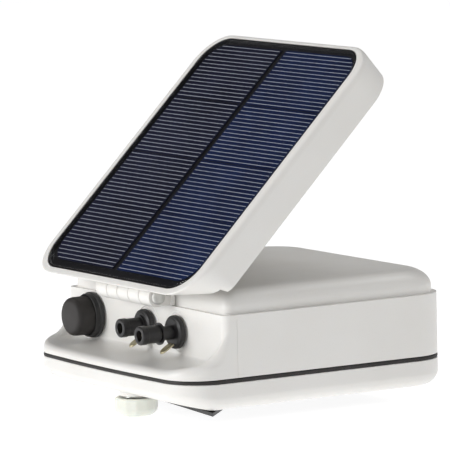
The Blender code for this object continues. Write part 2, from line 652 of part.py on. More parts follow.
def make_terminal(mats, side, x, turned_out, reach):
    """One output terminal: stud, insulated flange, lug, travelling washer and knob."""
    at = (x, FACE_Y + FACE_DISH, CONTROL_Z)
    bore = POST_R + GAP
    flange = [
        (bore, -4.4 * MM),
        (3.5 * MM, -4.4 * MM),
        (3.5 * MM, 1.4 * MM),
        (FLANGE_R, 1.4 * MM),
        (FLANGE_R, 3.0 * MM),
        (FLANGE_R - 0.7 * MM, 3.7 * MM),
        (5.8 * MM, 3.7 * MM),
        (5.8 * MM, 3.0 * MM),
        (SLEEVE_R, 3.0 * MM),
        (SLEEVE_R, 9.6 * MM),
        (bore, 9.6 * MM),
    ]
    place(turned(f"{side}_flange", flange, 24, hollow=True), mats["plastic_black"], at, FORWARD)
    post = [(POST_R, -11.0 * MM), (POST_R, reach)]
    place(turned(f"{side}_post", post, 14), mats["brass"], at, FORWARD)
    nut = [(bore, -7.4 * MM), (3.2 * MM, -7.4 * MM), (3.2 * MM, -4.8 * MM), (bore, -4.8 * MM)]
    place(turned(f"{side}_nut", nut, 6, hollow=True), mats["brass"], at, FORWARD)
    place(lug_mesh(side), mats["brass"], at, FORWARD)
    out = 4.1 * MM + turned_out
    inner = SLEEVE_R + GAP
    washer = [(inner, out), (4.7 * MM, out), (4.7 * MM, out + 0.7 * MM), (inner, out + 0.7 * MM)]
    place(turned(f"{side}_washer", washer, 20, hollow=True), mats["plastic_black"], at, FORWARD)
    start = out + 1.0 * MM
    knob = [
        (inner, start),
        (3.8 * MM, start),
        (3.8 * MM, start + 6.0 * MM),
        (4.05 * MM, start + 6.3 * MM),
        (4.05 * MM, start + 8.8 * MM),
        (3.7 * MM, start + 9.2 * MM),
        (2.3 * MM, start + 9.2 * MM),
        (2.3 * MM, start + 6.6 * MM),
        (bore, start + 6.4 * MM),
        (bore, start + 5.6 * MM),
        (inner, start + 5.4 * MM),
    ]
    place(turned(f"{side}_knob", knob, 20, hollow=True), mats["plastic_black"], at, FORWARD)


def lug_mesh(side):
    """The lug in a terminal's flange: a round eye whose toe slopes forwards and down."""
    low = LUG_LOW * MM
    high = LUG_HIGH * MM
    eye = [(SLEEVE_R + GAP, low), (LUG_R * MM, low), (LUG_R * MM, high), (SLEEVE_R + GAP, high)]
    lug = turned(f"{side}_lug", eye, 24, hollow=True)
    toe = mesh_object(f"{side}_lug_toe", *toe_shape())
    boolean(lug, toe, "UNION")
    return lug


def toe_shape():
    """The points and faces of a lug's toe, a thin tongue with a clipped end."""
    points = []
    for half, along, drop in TOE_STEPS:
        for x, up in ((-half, 0.0), (half, 0.0), (half, TOE_T), (-half, TOE_T)):
            points.append((x * MM, (up - drop) * MM, along * MM))
    faces = [(0, 1, 2, 3), tuple(range(len(points) - 4, len(points)))]
    for k in range(0, len(points) - 4, 4):
        for i in range(4):
            j = (i + 1) % 4
            faces.append((k + i, k + j, k + 4 + j, k + 4 + i))
    return points, faces


def make_inside(mats):
    """The battery, the circuit board and what is on it, and the leads between them."""
    pad_top = FLOOR_Z + 2.3 * MM
    pad = box("battery_pad", (100 * MM, 56 * MM, 2.0 * MM))
    place(pad, mats["foam"], (0, BATTERY_Y, FLOOR_Z + 1.3 * MM))
    battery = box("battery", BATTERY, 1.5 * MM)
    middle = pad_top + GAP + BATTERY[2] / 2
    place(battery, mats["battery"], (0, BATTERY_Y, middle))
    for name, x in (("battery_tab_positive", -40), ("battery_tab_negative", 40)):
        tab = box(name, (4.8 * MM, 0.8 * MM, 6.3 * MM))
        place(tab, mats["brass"], (x * MM, BATTERY_Y - BATTERY[1] / 2 - 0.75 * MM, middle + 4 * MM))
    board = box("circuit_board", BOARD)
    place(board, mats["board_green"], (0, BOARD_Y, BOARD_Z))
    top = BOARD_Z + BOARD[2] / 2 + GAP
    core = box("transformer_core", (30 * MM, 20 * MM, 22 * MM))
    window = box("core_window", (18 * MM, 30 * MM, 11 * MM))
    boolean(core, window)
    place(core, mats["ferrite"], (11 * MM, -20 * MM, top + 11 * MM))
    coil = box("transformer_coil", (16 * MM, 26 * MM, 9.6 * MM), 1.2 * MM)
    place(coil, mats["copper"], (11 * MM, -20 * MM, top + 11 * MM))
    film = box("pulse_capacitor", (18 * MM, 20 * MM, 18 * MM), 0.8 * MM)
    place(film, mats["capacitor"], (37 * MM, -22 * MM, top + 9 * MM))
    can = turned("filter_capacitor", [(4.0 * MM, 0.0), (4.0 * MM, 12.0 * MM), (3.6 * MM, 12.5 * MM)], 18)
    place(can, mats["capacitor"], (-13 * MM, -20 * MM, top))
    profile = [(2.0 * MM, 0.0), (5.0 * MM, 0.0), (5.0 * MM, 6.0 * MM), (2.0 * MM, 6.0 * MM)]
    choke = turned("charge_inductor", profile, 18, hollow=True)
    place(choke, mats["copper"], (-24 * MM, -22 * MM, top))
    thyristor = box("thyristor", (10 * MM, 4.4 * MM, 15 * MM), 0.4 * MM)
    place(thyristor, mats["plastic_black"], (-14 * MM, -34 * MM, top + 7.5 * MM))
    for side, (x, _, _) in POSTS.items():
        end_y = FACE_Y + FACE_DISH + 11.4 * MM
        route = [
            (x, end_y, CONTROL_Z),
            (x, end_y + 0.7 * MM, CONTROL_Z - 1.0 * MM),
            (x, end_y + 0.4 * MM, CONTROL_Z - 4.0 * MM),
            (x, end_y - 0.4 * MM, CONTROL_Z - 9.0 * MM),
            (x, end_y - 0.4 * MM, top + 0.2 * MM),
        ]
        wire(f"{side}_output_lead", route, 0.8 * MM, mats["rubber"])
    grommet = [(1.1, -6.0), (1.9, -6.0), (1.9, 0.3), (2.9, 0.3), (2.9, 1.2), (1.1, 1.2)]
    at = (LEAD_X, FACE_Y + LEDGE_IN, SEAL_Z + LEAD_H)
    ring = turned("panel_grommet", [(r * MM, h * MM) for r, h in grommet], 16, hollow=True)
    place(ring, mats["rubber"], at, FORWARD)


def main():
    """Builds the whole energizer."""
    clear_scene()
    mats = {
        "white": make_material("white_housing_plastic", (0.86, 0.85, 0.82), 0.42),
        "white_soft": make_material("white_knob_plastic", (0.84, 0.85, 0.80), 0.48),
        "rubber": make_material("black_rubber", (0.02, 0.018, 0.017), 0.6),
        "plastic_black": make_material("black_plastic", (0.015, 0.015, 0.016), 0.35),
        "plastic_grey": make_material("grey_plastic", (0.2, 0.2, 0.21), 0.5),
        "steel": make_material("zinc_steel", (0.62, 0.62, 0.6), 0.3, 1.0),
        "steel_black": make_material("black_coated_steel", (0.012, 0.012, 0.012), 0.5, 0.4),
        "brass": make_material("brass", (0.62, 0.5, 0.26), 0.35, 1.0),
        "board_black": make_material("panel_backing", (0.01, 0.01, 0.012), 0.4),
        "cell": make_material("solar_cell", (0.015, 0.025, 0.09), 0.25),
        "glaze": make_material("clear_glazing", (0.03, 0.035, 0.06), 0.05),
        "battery": make_material("battery_case", (0.09, 0.1, 0.11), 0.5),
        "foam": make_material("foam", (0.05, 0.05, 0.05), 0.9),
        "board_green": make_material("circuit_board", (0.02, 0.14, 0.05), 0.45),
        "ferrite": make_material("ferrite", (0.06, 0.06, 0.065), 0.6),
        "copper": make_material("copper_winding", (0.5, 0.2, 0.07), 0.35, 0.8),
        "capacitor": make_material("capacitor_case", (0.1, 0.16, 0.32), 0.4),
    }
    make_housing(mats)
    make_base(mats)
    make_gasket(mats)
    make_plate(mats)
    make_screws(mats)
    make_thumb_screw(mats)
    make_panel(mats)
    make_hinge(mats)
    make_button(mats)
    for side, (x, turned_out, reach) in POSTS.items():
        make_terminal(mats, side, x, turned_out, reach)
    make_inside(mats)


main()
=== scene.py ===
"""Studio scene of a solar fence energizer: sealed casing, tilting solar panel, button and two terminals.

Metres, +Z up, front towards -Y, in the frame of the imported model. Every piece is built at rest and rides on
the body that carries it.
"""

import logging
import math
from collections.abc import Callable
from dataclasses import dataclass, field
from enum import Enum

import bmesh
import bpy
from mathutils import Matrix, Vector


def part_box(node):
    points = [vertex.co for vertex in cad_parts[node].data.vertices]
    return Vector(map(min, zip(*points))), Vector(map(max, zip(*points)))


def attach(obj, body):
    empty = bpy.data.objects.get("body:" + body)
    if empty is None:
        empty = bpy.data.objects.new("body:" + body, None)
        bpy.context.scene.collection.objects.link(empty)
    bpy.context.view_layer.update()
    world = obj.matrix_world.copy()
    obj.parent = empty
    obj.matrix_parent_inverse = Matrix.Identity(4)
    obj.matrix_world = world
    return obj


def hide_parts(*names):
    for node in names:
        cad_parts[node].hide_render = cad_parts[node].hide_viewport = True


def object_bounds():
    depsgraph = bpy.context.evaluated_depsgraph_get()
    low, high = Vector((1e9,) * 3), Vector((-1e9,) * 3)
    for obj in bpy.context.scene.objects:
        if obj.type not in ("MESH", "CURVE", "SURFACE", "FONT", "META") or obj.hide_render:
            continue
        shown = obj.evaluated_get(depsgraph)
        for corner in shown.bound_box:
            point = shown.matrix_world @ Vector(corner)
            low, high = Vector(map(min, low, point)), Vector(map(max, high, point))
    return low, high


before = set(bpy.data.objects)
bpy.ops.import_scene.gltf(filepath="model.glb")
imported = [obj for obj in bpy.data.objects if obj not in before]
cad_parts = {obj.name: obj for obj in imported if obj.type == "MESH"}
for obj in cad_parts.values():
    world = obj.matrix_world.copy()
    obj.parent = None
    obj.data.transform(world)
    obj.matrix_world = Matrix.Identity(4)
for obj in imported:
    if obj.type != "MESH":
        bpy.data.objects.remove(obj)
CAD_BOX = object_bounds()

LOG = logging.getLogger("fence_energizer")
MM = 0.001
CORNERS = ((-1, -1), (1, -1), (1, 1), (-1, 1))
Point = tuple[float, float, float]
Ring = list[Point]
Outline = list[tuple[float, float]]
Colour = tuple[float, float, float]


class Facing(Enum):
    """Which way a turned piece's own axis points."""

    UP = (0.0, 0.0, 0.0)
    FORWARD = (math.radians(90), 0.0, 0.0)
    BACK = (math.radians(-90), 0.0, 0.0)
    LEFT = (0.0, math.radians(-90), 0.0)


class Grain(Enum):
    """The direction in which a metal surface was worked."""

    TURNED = (60.0, 60.0, 900.0)
    ROLLED = (40.0, 700.0, 700.0)


# -----------------------------------------------------------------------------------------------------------
# Mesh work
# -----------------------------------------------------------------------------------------------------------


def mesh_piece(name: str, points: list[Point], faces: list[tuple[int, ...]]) -> bpy.types.Object:
    """Makes an object with its faces turned outwards.

    Args:
        name: The object's name.
        points: Its vertices.
        faces: Its faces as vertex numbers.

    Returns:
        The new object.
    """
    mesh = bpy.data.meshes.new(name)
    mesh.from_pydata([tuple(p) for p in points], [], faces)
    shape = bmesh.new()
    shape.from_mesh(mesh)
    bmesh.ops.recalc_face_normals(shape, faces=shape.faces)
    shape.to_mesh(mesh)
    shape.free()
    piece = bpy.data.objects.new(name, mesh)
    bpy.context.scene.collection.objects.link(piece)
    return piece


def skin(name: str, rings: list[Ring], closed: bool = False) -> bpy.types.Object:
    """Covers a stack of rings with one surface.

    Args:
        name: The object's name.
        rings: Rings with the same number of points.
        closed: True if the last ring joins the first, so that there are no end caps.

    Returns:
        The new object.
    """
    count = len(rings[0])
    points = [p for ring in rings for p in ring]
    faces: list[tuple[int, ...]] = []
    for k in range(len(rings) if closed else len(rings) - 1):
        here, there = k * count, (k + 1) % len(rings) * count
        for i in range(count):
            j = (i + 1) % count
            faces.append((here + i, here + j, there + j, there + i))
    if not closed:
        faces.append(tuple(range(count)))
        faces.append(tuple(range((len(rings) - 1) * count, len(rings) * count)))
    return mesh_piece(name, points, faces)


def lathe(
    name: str,
    profile: Outline,
    steps: int = 64,
    hollow: bool = False,
    swell: Callable[[float, float], float] | None = None,
) -> bpy.types.Object:
    """Turns a profile about Z.

    Args:
        name: The object's name.
        profile: (radius, height) points.
        steps: How many steps make a full turn.
        hollow: True if the profile closes on itself round a bore.
        swell: Takes an angle and a height and gives the radius's factor there.

    Returns:
        The new object.
    """
    rings = []
    for radius, height in profile:
        ring = []
        for i in range(steps):
            turn = 2 * math.pi * i / steps
            r = radius * (swell(turn, height) if swell else 1.0)
            ring.append((r * math.cos(turn), r * math.sin(turn), height))
        rings.append(ring)
    return skin(name, rings, closed=hollow)


def thread(name: str, radius: float, start: float, end: float, pitch: float) -> bpy.types.Object:
    """Makes a threaded rod along Z, with a helical ridge of the given pitch and a chamfered end.

    Args:
        name: The object's name.
        radius: The radius over the thread.
        start: The height of the plain end.
        end: The height of the chamfered tip.
        pitch: The thread's pitch.

    Returns:
        The new object.
    """
    steps, per_turn, depth = 24, 6, 0.22 * pitch
    rings = []
    count = max(4, round((end - start) / pitch * per_turn))
    for k in range(count + 1):
        height = start + (end - start) * k / count
        ring = []
        for i in range(steps):
            turn = 2 * math.pi * i / steps
            phase = (height / pitch - i / steps) % 1.0
            r = radius - depth * abs(2 * phase - 1) * 2
            r = min(r, radius - depth * 2 + (end - height) * 1.2 + depth * 0.2)
            ring.append((r * math.cos(turn), r * math.sin(turn), height))
        rings.append(ring)
    return skin(name, rings)


def block(name: str, size: Point, centre: Point) -> bpy.types.Object:
    """Makes a plain block, as a cutter or as the start of a piece.

    Args:
        name: The object's name.
        size: Its width, depth and height.
        centre: Where its middle is.

    Returns:
        The block.
    """
    half = [s / 2 for s in size]
    low = [(centre[0] + x * half[0], centre[1] + y * half[1], centre[2] - half[2]) for x, y in CORNERS]
    high = [(x, y, centre[2] + half[2]) for x, y, _ in low]
    return skin(name, [low, high])


def plate_of(name: str, outline: Outline, bottom: float, top: float) -> bpy.types.Object:
    """Extrudes a flat outline from one height to another."""
    return skin(name, [[(x, y, bottom) for x, y in outline], [(x, y, top) for x, y in outline]])


def settle(piece: bpy.types.Object) -> bpy.types.Object:
    """Turns a piece's modifiers into its mesh and gives the piece back.

    Args:
        piece: The piece whose modifiers are applied.

    Returns:
        The same piece.
    """
    graph = bpy.context.evaluated_depsgraph_get()
    made = bpy.data.meshes.new_from_object(piece.evaluated_get(graph), depsgraph=graph)
    piece.modifiers.clear()
    piece.data = made
    return piece


def soften(
    piece: bpy.types.Object, width: float, segments: int = 3, from_angle: float = 32.0
) -> bpy.types.Object:
    """Rounds a piece's sharp edges.

    Args:
        piece: The piece.
        width: How wide the rounding is.
        segments: How many faces make it.
        from_angle: Edges that turn by more degrees than this are rounded.

    Returns:
        The piece.
    """
    edge = piece.modifiers.new("edge rounding", "BEVEL")
    edge.width = width
    edge.segments = segments
    edge.limit_method = "ANGLE"
    edge.angle_limit = math.radians(from_angle)
    edge.miter_outer = "MITER_ARC"
    return settle(piece)


def join(name: str, parts: list[bpy.types.Object]) -> bpy.types.Object:
    """Puts several meshes into one object.

    Args:
        name: The new object's name.
        parts: The objects, which are removed.

    Returns:
        The new object, at the origin.
    """
    shape = bmesh.new()
    for part in parts:
        bpy.context.view_layer.update()
        part.data.transform(part.matrix_world)
        shape.from_mesh(part.data)
        bpy.data.objects.remove(part, do_unlink=True)
    mesh = bpy.data.meshes.new(name)
    shape.to_mesh(mesh)
    shape.free()
    piece = bpy.data.objects.new(name, mesh)
    bpy.context.scene.collection.objects.link(piece)
    return piece


def combine(
    piece: bpy.types.Object, tool: bpy.types.Object, operation: str = "DIFFERENCE"
) -> bpy.types.Object:
    """Cuts a tool from a piece, or joins it on, and removes the tool.

    Args:
        piece: The piece.
        tool: The other closed mesh.
        operation: DIFFERENCE or UNION.

    Returns:
        The piece.
    """
    cut = piece.modifiers.new("cut", "BOOLEAN")
    cut.operation = operation
    cut.solver = "EXACT"
    cut.object = tool
    settle(piece)
    bpy.data.objects.remove(tool, do_unlink=True)
    return piece


def turn_to(piece: bpy.types.Object, at: Point, facing: Facing = Facing.UP) -> bpy.types.Object:
    """Moves a piece's mesh to its place, with its own axis pointing the given way.

    Args:
        piece: A piece turned about +Z.
        at: Where its axis starts.
        facing: Which way that axis points.

    Returns:
        The same piece.
    """
    spin = Matrix.Identity(4)
    for angle, axis in zip(facing.value, "XYZ"):
        spin = Matrix.Rotation(angle, 4, axis) @ spin
    piece.data.transform(Matrix.Translation(at) @ spin)
    return piece


def fit(
    piece: bpy.types.Object,
    body: str,
    slot: str,
    material: bpy.types.Material,
    *nodes: str,
    sharp: float = 35.0,
) -> bpy.types.Object:
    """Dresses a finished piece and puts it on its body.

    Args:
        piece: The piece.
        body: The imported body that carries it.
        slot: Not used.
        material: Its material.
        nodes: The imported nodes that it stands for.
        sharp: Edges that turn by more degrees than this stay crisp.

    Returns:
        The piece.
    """
    piece.data.materials.clear()
    piece.data.materials.append(material)
    piece.data.shade_smooth()
    piece.data.set_sharp_from_angle(angle=math.radians(sharp))
    even = piece.modifiers.new("even shading", "WEIGHTED_NORMAL")
    even.keep_sharp = True
    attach(piece, body)
    if nodes:
        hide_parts(*nodes)
    return piece


def dress_node(name: str, material: bpy.types.Material, edge: float = 0.15 * MM) -> None:
    """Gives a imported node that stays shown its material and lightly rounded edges.

    Args:
        name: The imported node's name.
        material: Its material.
        edge: How wide its edges are rounded.
    """
    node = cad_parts[name]
    node.data.materials.clear()
    node.data.materials.append(material)
    weld = node.modifiers.new("weld", "WELD")
    weld.merge_threshold = 0.002 * MM
    rounding = node.modifiers.new("edge rounding", "BEVEL")
    rounding.width = edge
    rounding.segments = 2
    rounding.limit_method = "ANGLE"
    rounding.angle_limit = math.radians(35)
    node.modifiers.new("even shading", "WEIGHTED_NORMAL").keep_sharp = True


def eased(points: Outline, per_span: int) -> Outline:
    """Fills in a profile with a smooth curve that never swings past its own points.

    Args:
        points: The profile.
        per_span: How many steps each span between two points gets.

    Returns:
        The longer profile.
    """
    spans = [max(math.dist(a, b), 1e-9) for a, b in zip(points, points[1:])]
    tangents = []
    for c in (0, 1):
        steep = [(b[c] - a[c]) / h for a, b, h in zip(points, points[1:], spans)]
        inner = []
        for d0, d1, h0, h1 in zip(steep, steep[1:], spans, spans[1:]):
            flat = d0 * d1 <= 0
            inner.append(0.0 if flat else 3 * (h0 + h1) / ((2 * h1 + h0) / d0 + (h1 + 2 * h0) / d1))
        tangents.append([steep[0], *inner, steep[-1]])
    made = []
    for k, h in enumerate(spans):
        for i in range(per_span):
            t = i / per_span
            weights = (2 * t**3 - 3 * t**2 + 1, t**3 - 2 * t**2 + t, 3 * t**2 - 2 * t**3, t**3 - t**2)
            spot = []
            for c in (0, 1):
                ends = (points[k][c], h * tangents[c][k], points[k + 1][c], h * tangents[c][k + 1])
                spot.append(sum(w * e for w, e in zip(weights, ends)))
            made.append((spot[0], spot[1]))
    return [*made, points[-1]]


def plan(
    half_w: float, front: float, rear: float, front_r: float, rear_r: float, bow: float = 0.0, fine: int = 3
) -> Outline:
    """Draws a rounded rectangle, anticlockwise from its front left.

    Args:
        half_w: Half its width.
        front: The y of its front edge.
        rear: The y of its rear edge.
        front_r: The front corners' radius.
        rear_r: The rear corners' radius.
        bow: How far the middle of the front edge stands out.
        fine: How fine the outline is.

    Returns:
        The outline's points.
    """
    flat = half_w - front_r
    edge_steps, arc_steps, side_steps = 8 * fine, 5 * fine, 4 * fine
    points = []
    for i in range(edge_steps):
        x = -flat + 2 * flat * i / edge_steps
        points.append((x, front - bow * (1 - (x / flat) ** 2)))
    corners = [
        (half_w - front_r, front + front_r, front_r, -90),
        (half_w - rear_r, rear - rear_r, rear_r, 0),
        (-half_w + rear_r, rear - rear_r, rear_r, 90),
        (-half_w + front_r, front + front_r, front_r, 180),
    ]
    for k, (cx, cy, r, start) in enumerate(corners):
        for i in range(arc_steps + 1):
            turn = math.radians(start + 90.0 * i / arc_steps)
            points.append((cx + r * math.cos(turn), cy + r * math.sin(turn)))
        if k == 3:
            continue
        nx, ny, nr, _ = corners[k + 1]
        turn = math.radians(start + 90)
        last, following = Vector(points[-1]), Vector((nx + nr * math.cos(turn), ny + nr * math.sin(turn)))
        for i in range(1, side_steps):
            points.append(tuple(last.lerp(following, i / side_steps)))
    return points[:-1]


# -----------------------------------------------------------------------------------------------------------
# Finishes
# -----------------------------------------------------------------------------------------------------------


@dataclass(frozen=True)
class Moulding:
    """A moulded plastic or rubber finish.

    Colour and shade are the two tones that the melt drifts between; grain is the size of the mould's texture.
    """

    name: str
    colour: Colour
    shade: Colour
    roughness: tuple[float, float]
    grain: float
    relief: float
    glow: float = 0.0
    pebble: float = 0.0


@dataclass(frozen=True)
class Metal:
    """A worked metal finish: its bright tone, its dull tone, and how it was worked."""

    name: str
    bright: Colour
    dull: Colour
    roughness: tuple[float, float]
    grain: Grain
    metallic: float = 1.0


def new_material(name: str) -> tuple[bpy.types.Material, bpy.types.Nodes, bpy.types.NodeLinks]:
    """Starts an empty node material.

    Args:
        name: The material's name.

    Returns:
        The material, its nodes and its links.
    """
    material = bpy.data.materials.new(name)
    material.use_nodes = True
    tree = material.node_tree
    tree.nodes.clear()
    return material, tree.nodes, tree.links


def arrange(
    nodes: bpy.types.Nodes,
    groups: dict[str, tuple[bpy.types.Node, ...]],
    loose: tuple[tuple[int, bpy.types.Node], ...],
    across: int = 220,
    down: int = 380,
) -> None:
    """Frames the nodes of each effect in a row of their own, and sets the other nodes between the rows.

    Args:
        nodes: The material's nodes.
        groups: Each effect's title and its nodes.
        loose: The other nodes, each with its column.
        across: The distance between columns.
        down: The distance between rows.
    """
    for row, (title, members) in enumerate(groups.items()):
        group = nodes.new("NodeFrame")
        group.label = title
        for column, node in enumerate(members):
            node.parent = group
            node.location = (column * across, -row * down)
    for column, node in loose:
        node.location = (column * across, -down // 2)


def moulded(finish: Moulding) -> bpy.types.Material:
    """Makes moulded plastic or rubber: a slow drift of tone, fine mould grain, and handled, uneven gloss.

    Args:
        finish: The finish's values.

    Returns:
        The material.
    """
    material, nodes, links = new_material(finish.name)
    place = nodes.new("ShaderNodeTexCoord")
    place.label = "place on the piece"
    flow = nodes.new("ShaderNodeTexNoise")
    flow.label = "slow drift of the melt"
    tone = nodes.new("ShaderNodeValToRGB")
    tone.label = "from the darker to the lighter tone"
    speck = nodes.new("ShaderNodeTexNoise")
    speck.label = "specks in the pigment"
    speck_mix = nodes.new("ShaderNodeMix")
    speck_mix.label = "specks over the tone"
    speck_share = nodes.new("ShaderNodeMapRange")
    speck_share.label = "how strong the specks are"
    grain = nodes.new("ShaderNodeTexNoise")
    grain.label = "texture of the mould"
    pebble = nodes.new("ShaderNodeTexVoronoi")
    pebble.label = "pebbled skin"
    relief = nodes.new("ShaderNodeMix")
    relief.label = "mould texture with the pebbles"
    bump = nodes.new("ShaderNodeBump")
    bump.label = "height of the texture"
    haze = nodes.new("ShaderNodeTexNoise")
    haze.label = "handling haze"
    gloss = nodes.new("ShaderNodeMapRange")
    gloss.label = "haze to roughness"
    shader = nodes.new("ShaderNodeBsdfPrincipled")
    shader.label = "moulded surface"
    out = nodes.new("ShaderNodeOutputMaterial")
    out.label = "surface"
    groups = {
        "colour": (flow, tone, speck, speck_share, speck_mix),
        "relief": (grain, pebble, relief, bump),
        "gloss": (haze, gloss),
    }
    arrange(nodes, groups, ((-1, place), (6, shader), (8, out)), across=210, down=360)

    flow.inputs["Scale"].default_value = 26.0
    flow.inputs["Detail"].default_value = 3.0
    tone.color_ramp.elements[0].position = 0.3
    tone.color_ramp.elements[0].color = (*finish.shade, 1.0)
    tone.color_ramp.elements[1].position = 0.68
    tone.color_ramp.elements[1].color = (*finish.colour, 1.0)
    speck.inputs["Scale"].default_value = 1400.0
    speck.inputs["Detail"].default_value = 1.0
    speck_share.inputs["From Min"].default_value = 0.62
    speck_share.inputs["From Max"].default_value = 0.8
    speck_share.inputs["To Max"].default_value = 0.35
    speck_mix.data_type = "RGBA"
    speck_mix.blend_type = "MULTIPLY"
    speck_mix.inputs["B"].default_value = (0.9, 0.89, 0.87, 1.0)
    grain.inputs["Scale"].default_value = 1.0 / finish.grain
    grain.inputs["Detail"].default_value = 2.0
    pebble.inputs["Scale"].default_value = 0.6 / finish.grain
    relief.inputs["Factor"].default_value = finish.pebble
    bump.inputs["Strength"].default_value = 0.5
    bump.inputs["Distance"].default_value = finish.relief
    haze.inputs["Scale"].default_value = 70.0
    haze.inputs["Detail"].default_value = 4.0
    gloss.inputs["From Min"].default_value = 0.3
    gloss.inputs["From Max"].default_value = 0.7
    gloss.inputs["To Min"].default_value = finish.roughness[0]
    gloss.inputs["To Max"].default_value = finish.roughness[1]
    shader.inputs["Subsurface Weight"].default_value = finish.glow
    shader.inputs["Subsurface Radius"].default_value = (1.0, 0.85, 0.7)
    shader.inputs["Subsurface Scale"].default_value = 0.8 * MM
    shader.inputs["IOR"].default_value = 1.49

    for noise in (flow, speck, grain, pebble, haze):
        links.new(place.outputs["Object"], noise.inputs["Vector"])
    links.new(flow.outputs["Fac"], tone.inputs["Fac"])
    links.new(tone.outputs["Color"], speck_mix.inputs["A"])
    links.new(speck.outputs["Fac"], speck_share.inputs["Value"])
    links.new(speck_share.outputs["Result"], speck_mix.inputs["Factor"])
    links.new(speck_mix.outputs["Result"], shader.inputs["Base Color"])
    links.new(grain.outputs["Fac"], relief.inputs["A"])
    links.new(pebble.outputs["Distance"], relief.inputs["B"])
    links.new(relief.outputs["Result"], bump.inputs["Height"])
    links.new(bump.outputs["Normal"], shader.inputs["Normal"])
    links.new(haze.outputs["Fac"], gloss.inputs["Value"])
    links.new(gloss.outputs["Result"], shader.inputs["Roughness"])
    links.new(shader.outputs["BSDF"], out.inputs["Surface"])
    return material


def worked(finish: Metal) -> bpy.types.Material:
    """Makes worked metal: fine tool lines one way, a patchy dull film, and uneven gloss.

    Args:
        finish: The finish's values.

    Returns:
        The material.
    """
    material, nodes, links = new_material(finish.name)
    place = nodes.new("ShaderNodeTexCoord")
    place.label = "place on the piece"
    stretch = nodes.new("ShaderNodeMapping")
    stretch.label = "stretched along the tool's path"
    lines = nodes.new("ShaderNodeTexNoise")
    lines.label = "tool lines"
    line_bump = nodes.new("ShaderNodeBump")
    line_bump.label = "depth of the tool lines"
    film = nodes.new("ShaderNodeTexNoise")
    film.label = "patches of dull film"
    film_edge = nodes.new("ShaderNodeValToRGB")
    film_edge.label = "bright metal to dull film"
    gloss = nodes.new("ShaderNodeMapRange")
    gloss.label = "film to roughness"
    shader = nodes.new("ShaderNodeBsdfPrincipled")
    shader.label = "metal"
    out = nodes.new("ShaderNodeOutputMaterial")
    out.label = "surface"
    groups = {"tool lines": (stretch, lines, line_bump), "film": (film, film_edge, gloss)}
    arrange(nodes, groups, ((-1, place), (4, shader), (6, out)))

    stretch.inputs["Scale"].default_value = finish.grain.value
    lines.inputs["Scale"].default_value = 4.0
    lines.inputs["Detail"].default_value = 4.0
    line_bump.inputs["Strength"].default_value = 0.3
    line_bump.inputs["Distance"].default_value = 0.02 * MM
    film.inputs["Scale"].default_value = 380.0
    film.inputs["Detail"].default_value = 5.0
    film_edge.color_ramp.elements[0].position = 0.35
    film_edge.color_ramp.elements[0].color = (*finish.bright, 1.0)
    film_edge.color_ramp.elements[1].position = 0.7
    film_edge.color_ramp.elements[1].color = (*finish.dull, 1.0)
    gloss.inputs["From Min"].default_value = 0.3
    gloss.inputs["From Max"].default_value = 0.7
    gloss.inputs["To Min"].default_value = finish.roughness[0]
    gloss.inputs["To Max"].default_value = finish.roughness[1]
    shader.inputs["Metallic"].default_value = finish.metallic

    links.new(place.outputs["Object"], stretch.inputs["Vector"])
    links.new(stretch.outputs["Vector"], lines.inputs["Vector"])
    links.new(lines.outputs["Fac"], line_bump.inputs["Height"])
    links.new(line_bump.outputs["Normal"], shader.inputs["Normal"])
    links.new(place.outputs["Object"], film.inputs["Vector"])
    links.new(film.outputs["Fac"], film_edge.inputs["Fac"])
    links.new(film_edge.outputs["Color"], shader.inputs["Base Color"])
    links.new(film.outputs["Fac"], gloss.inputs["Value"])
    links.new(gloss.outputs["Result"], shader.inputs["Roughness"])
    links.new(shader.outputs["BSDF"], out.inputs["Surface"])
    return material


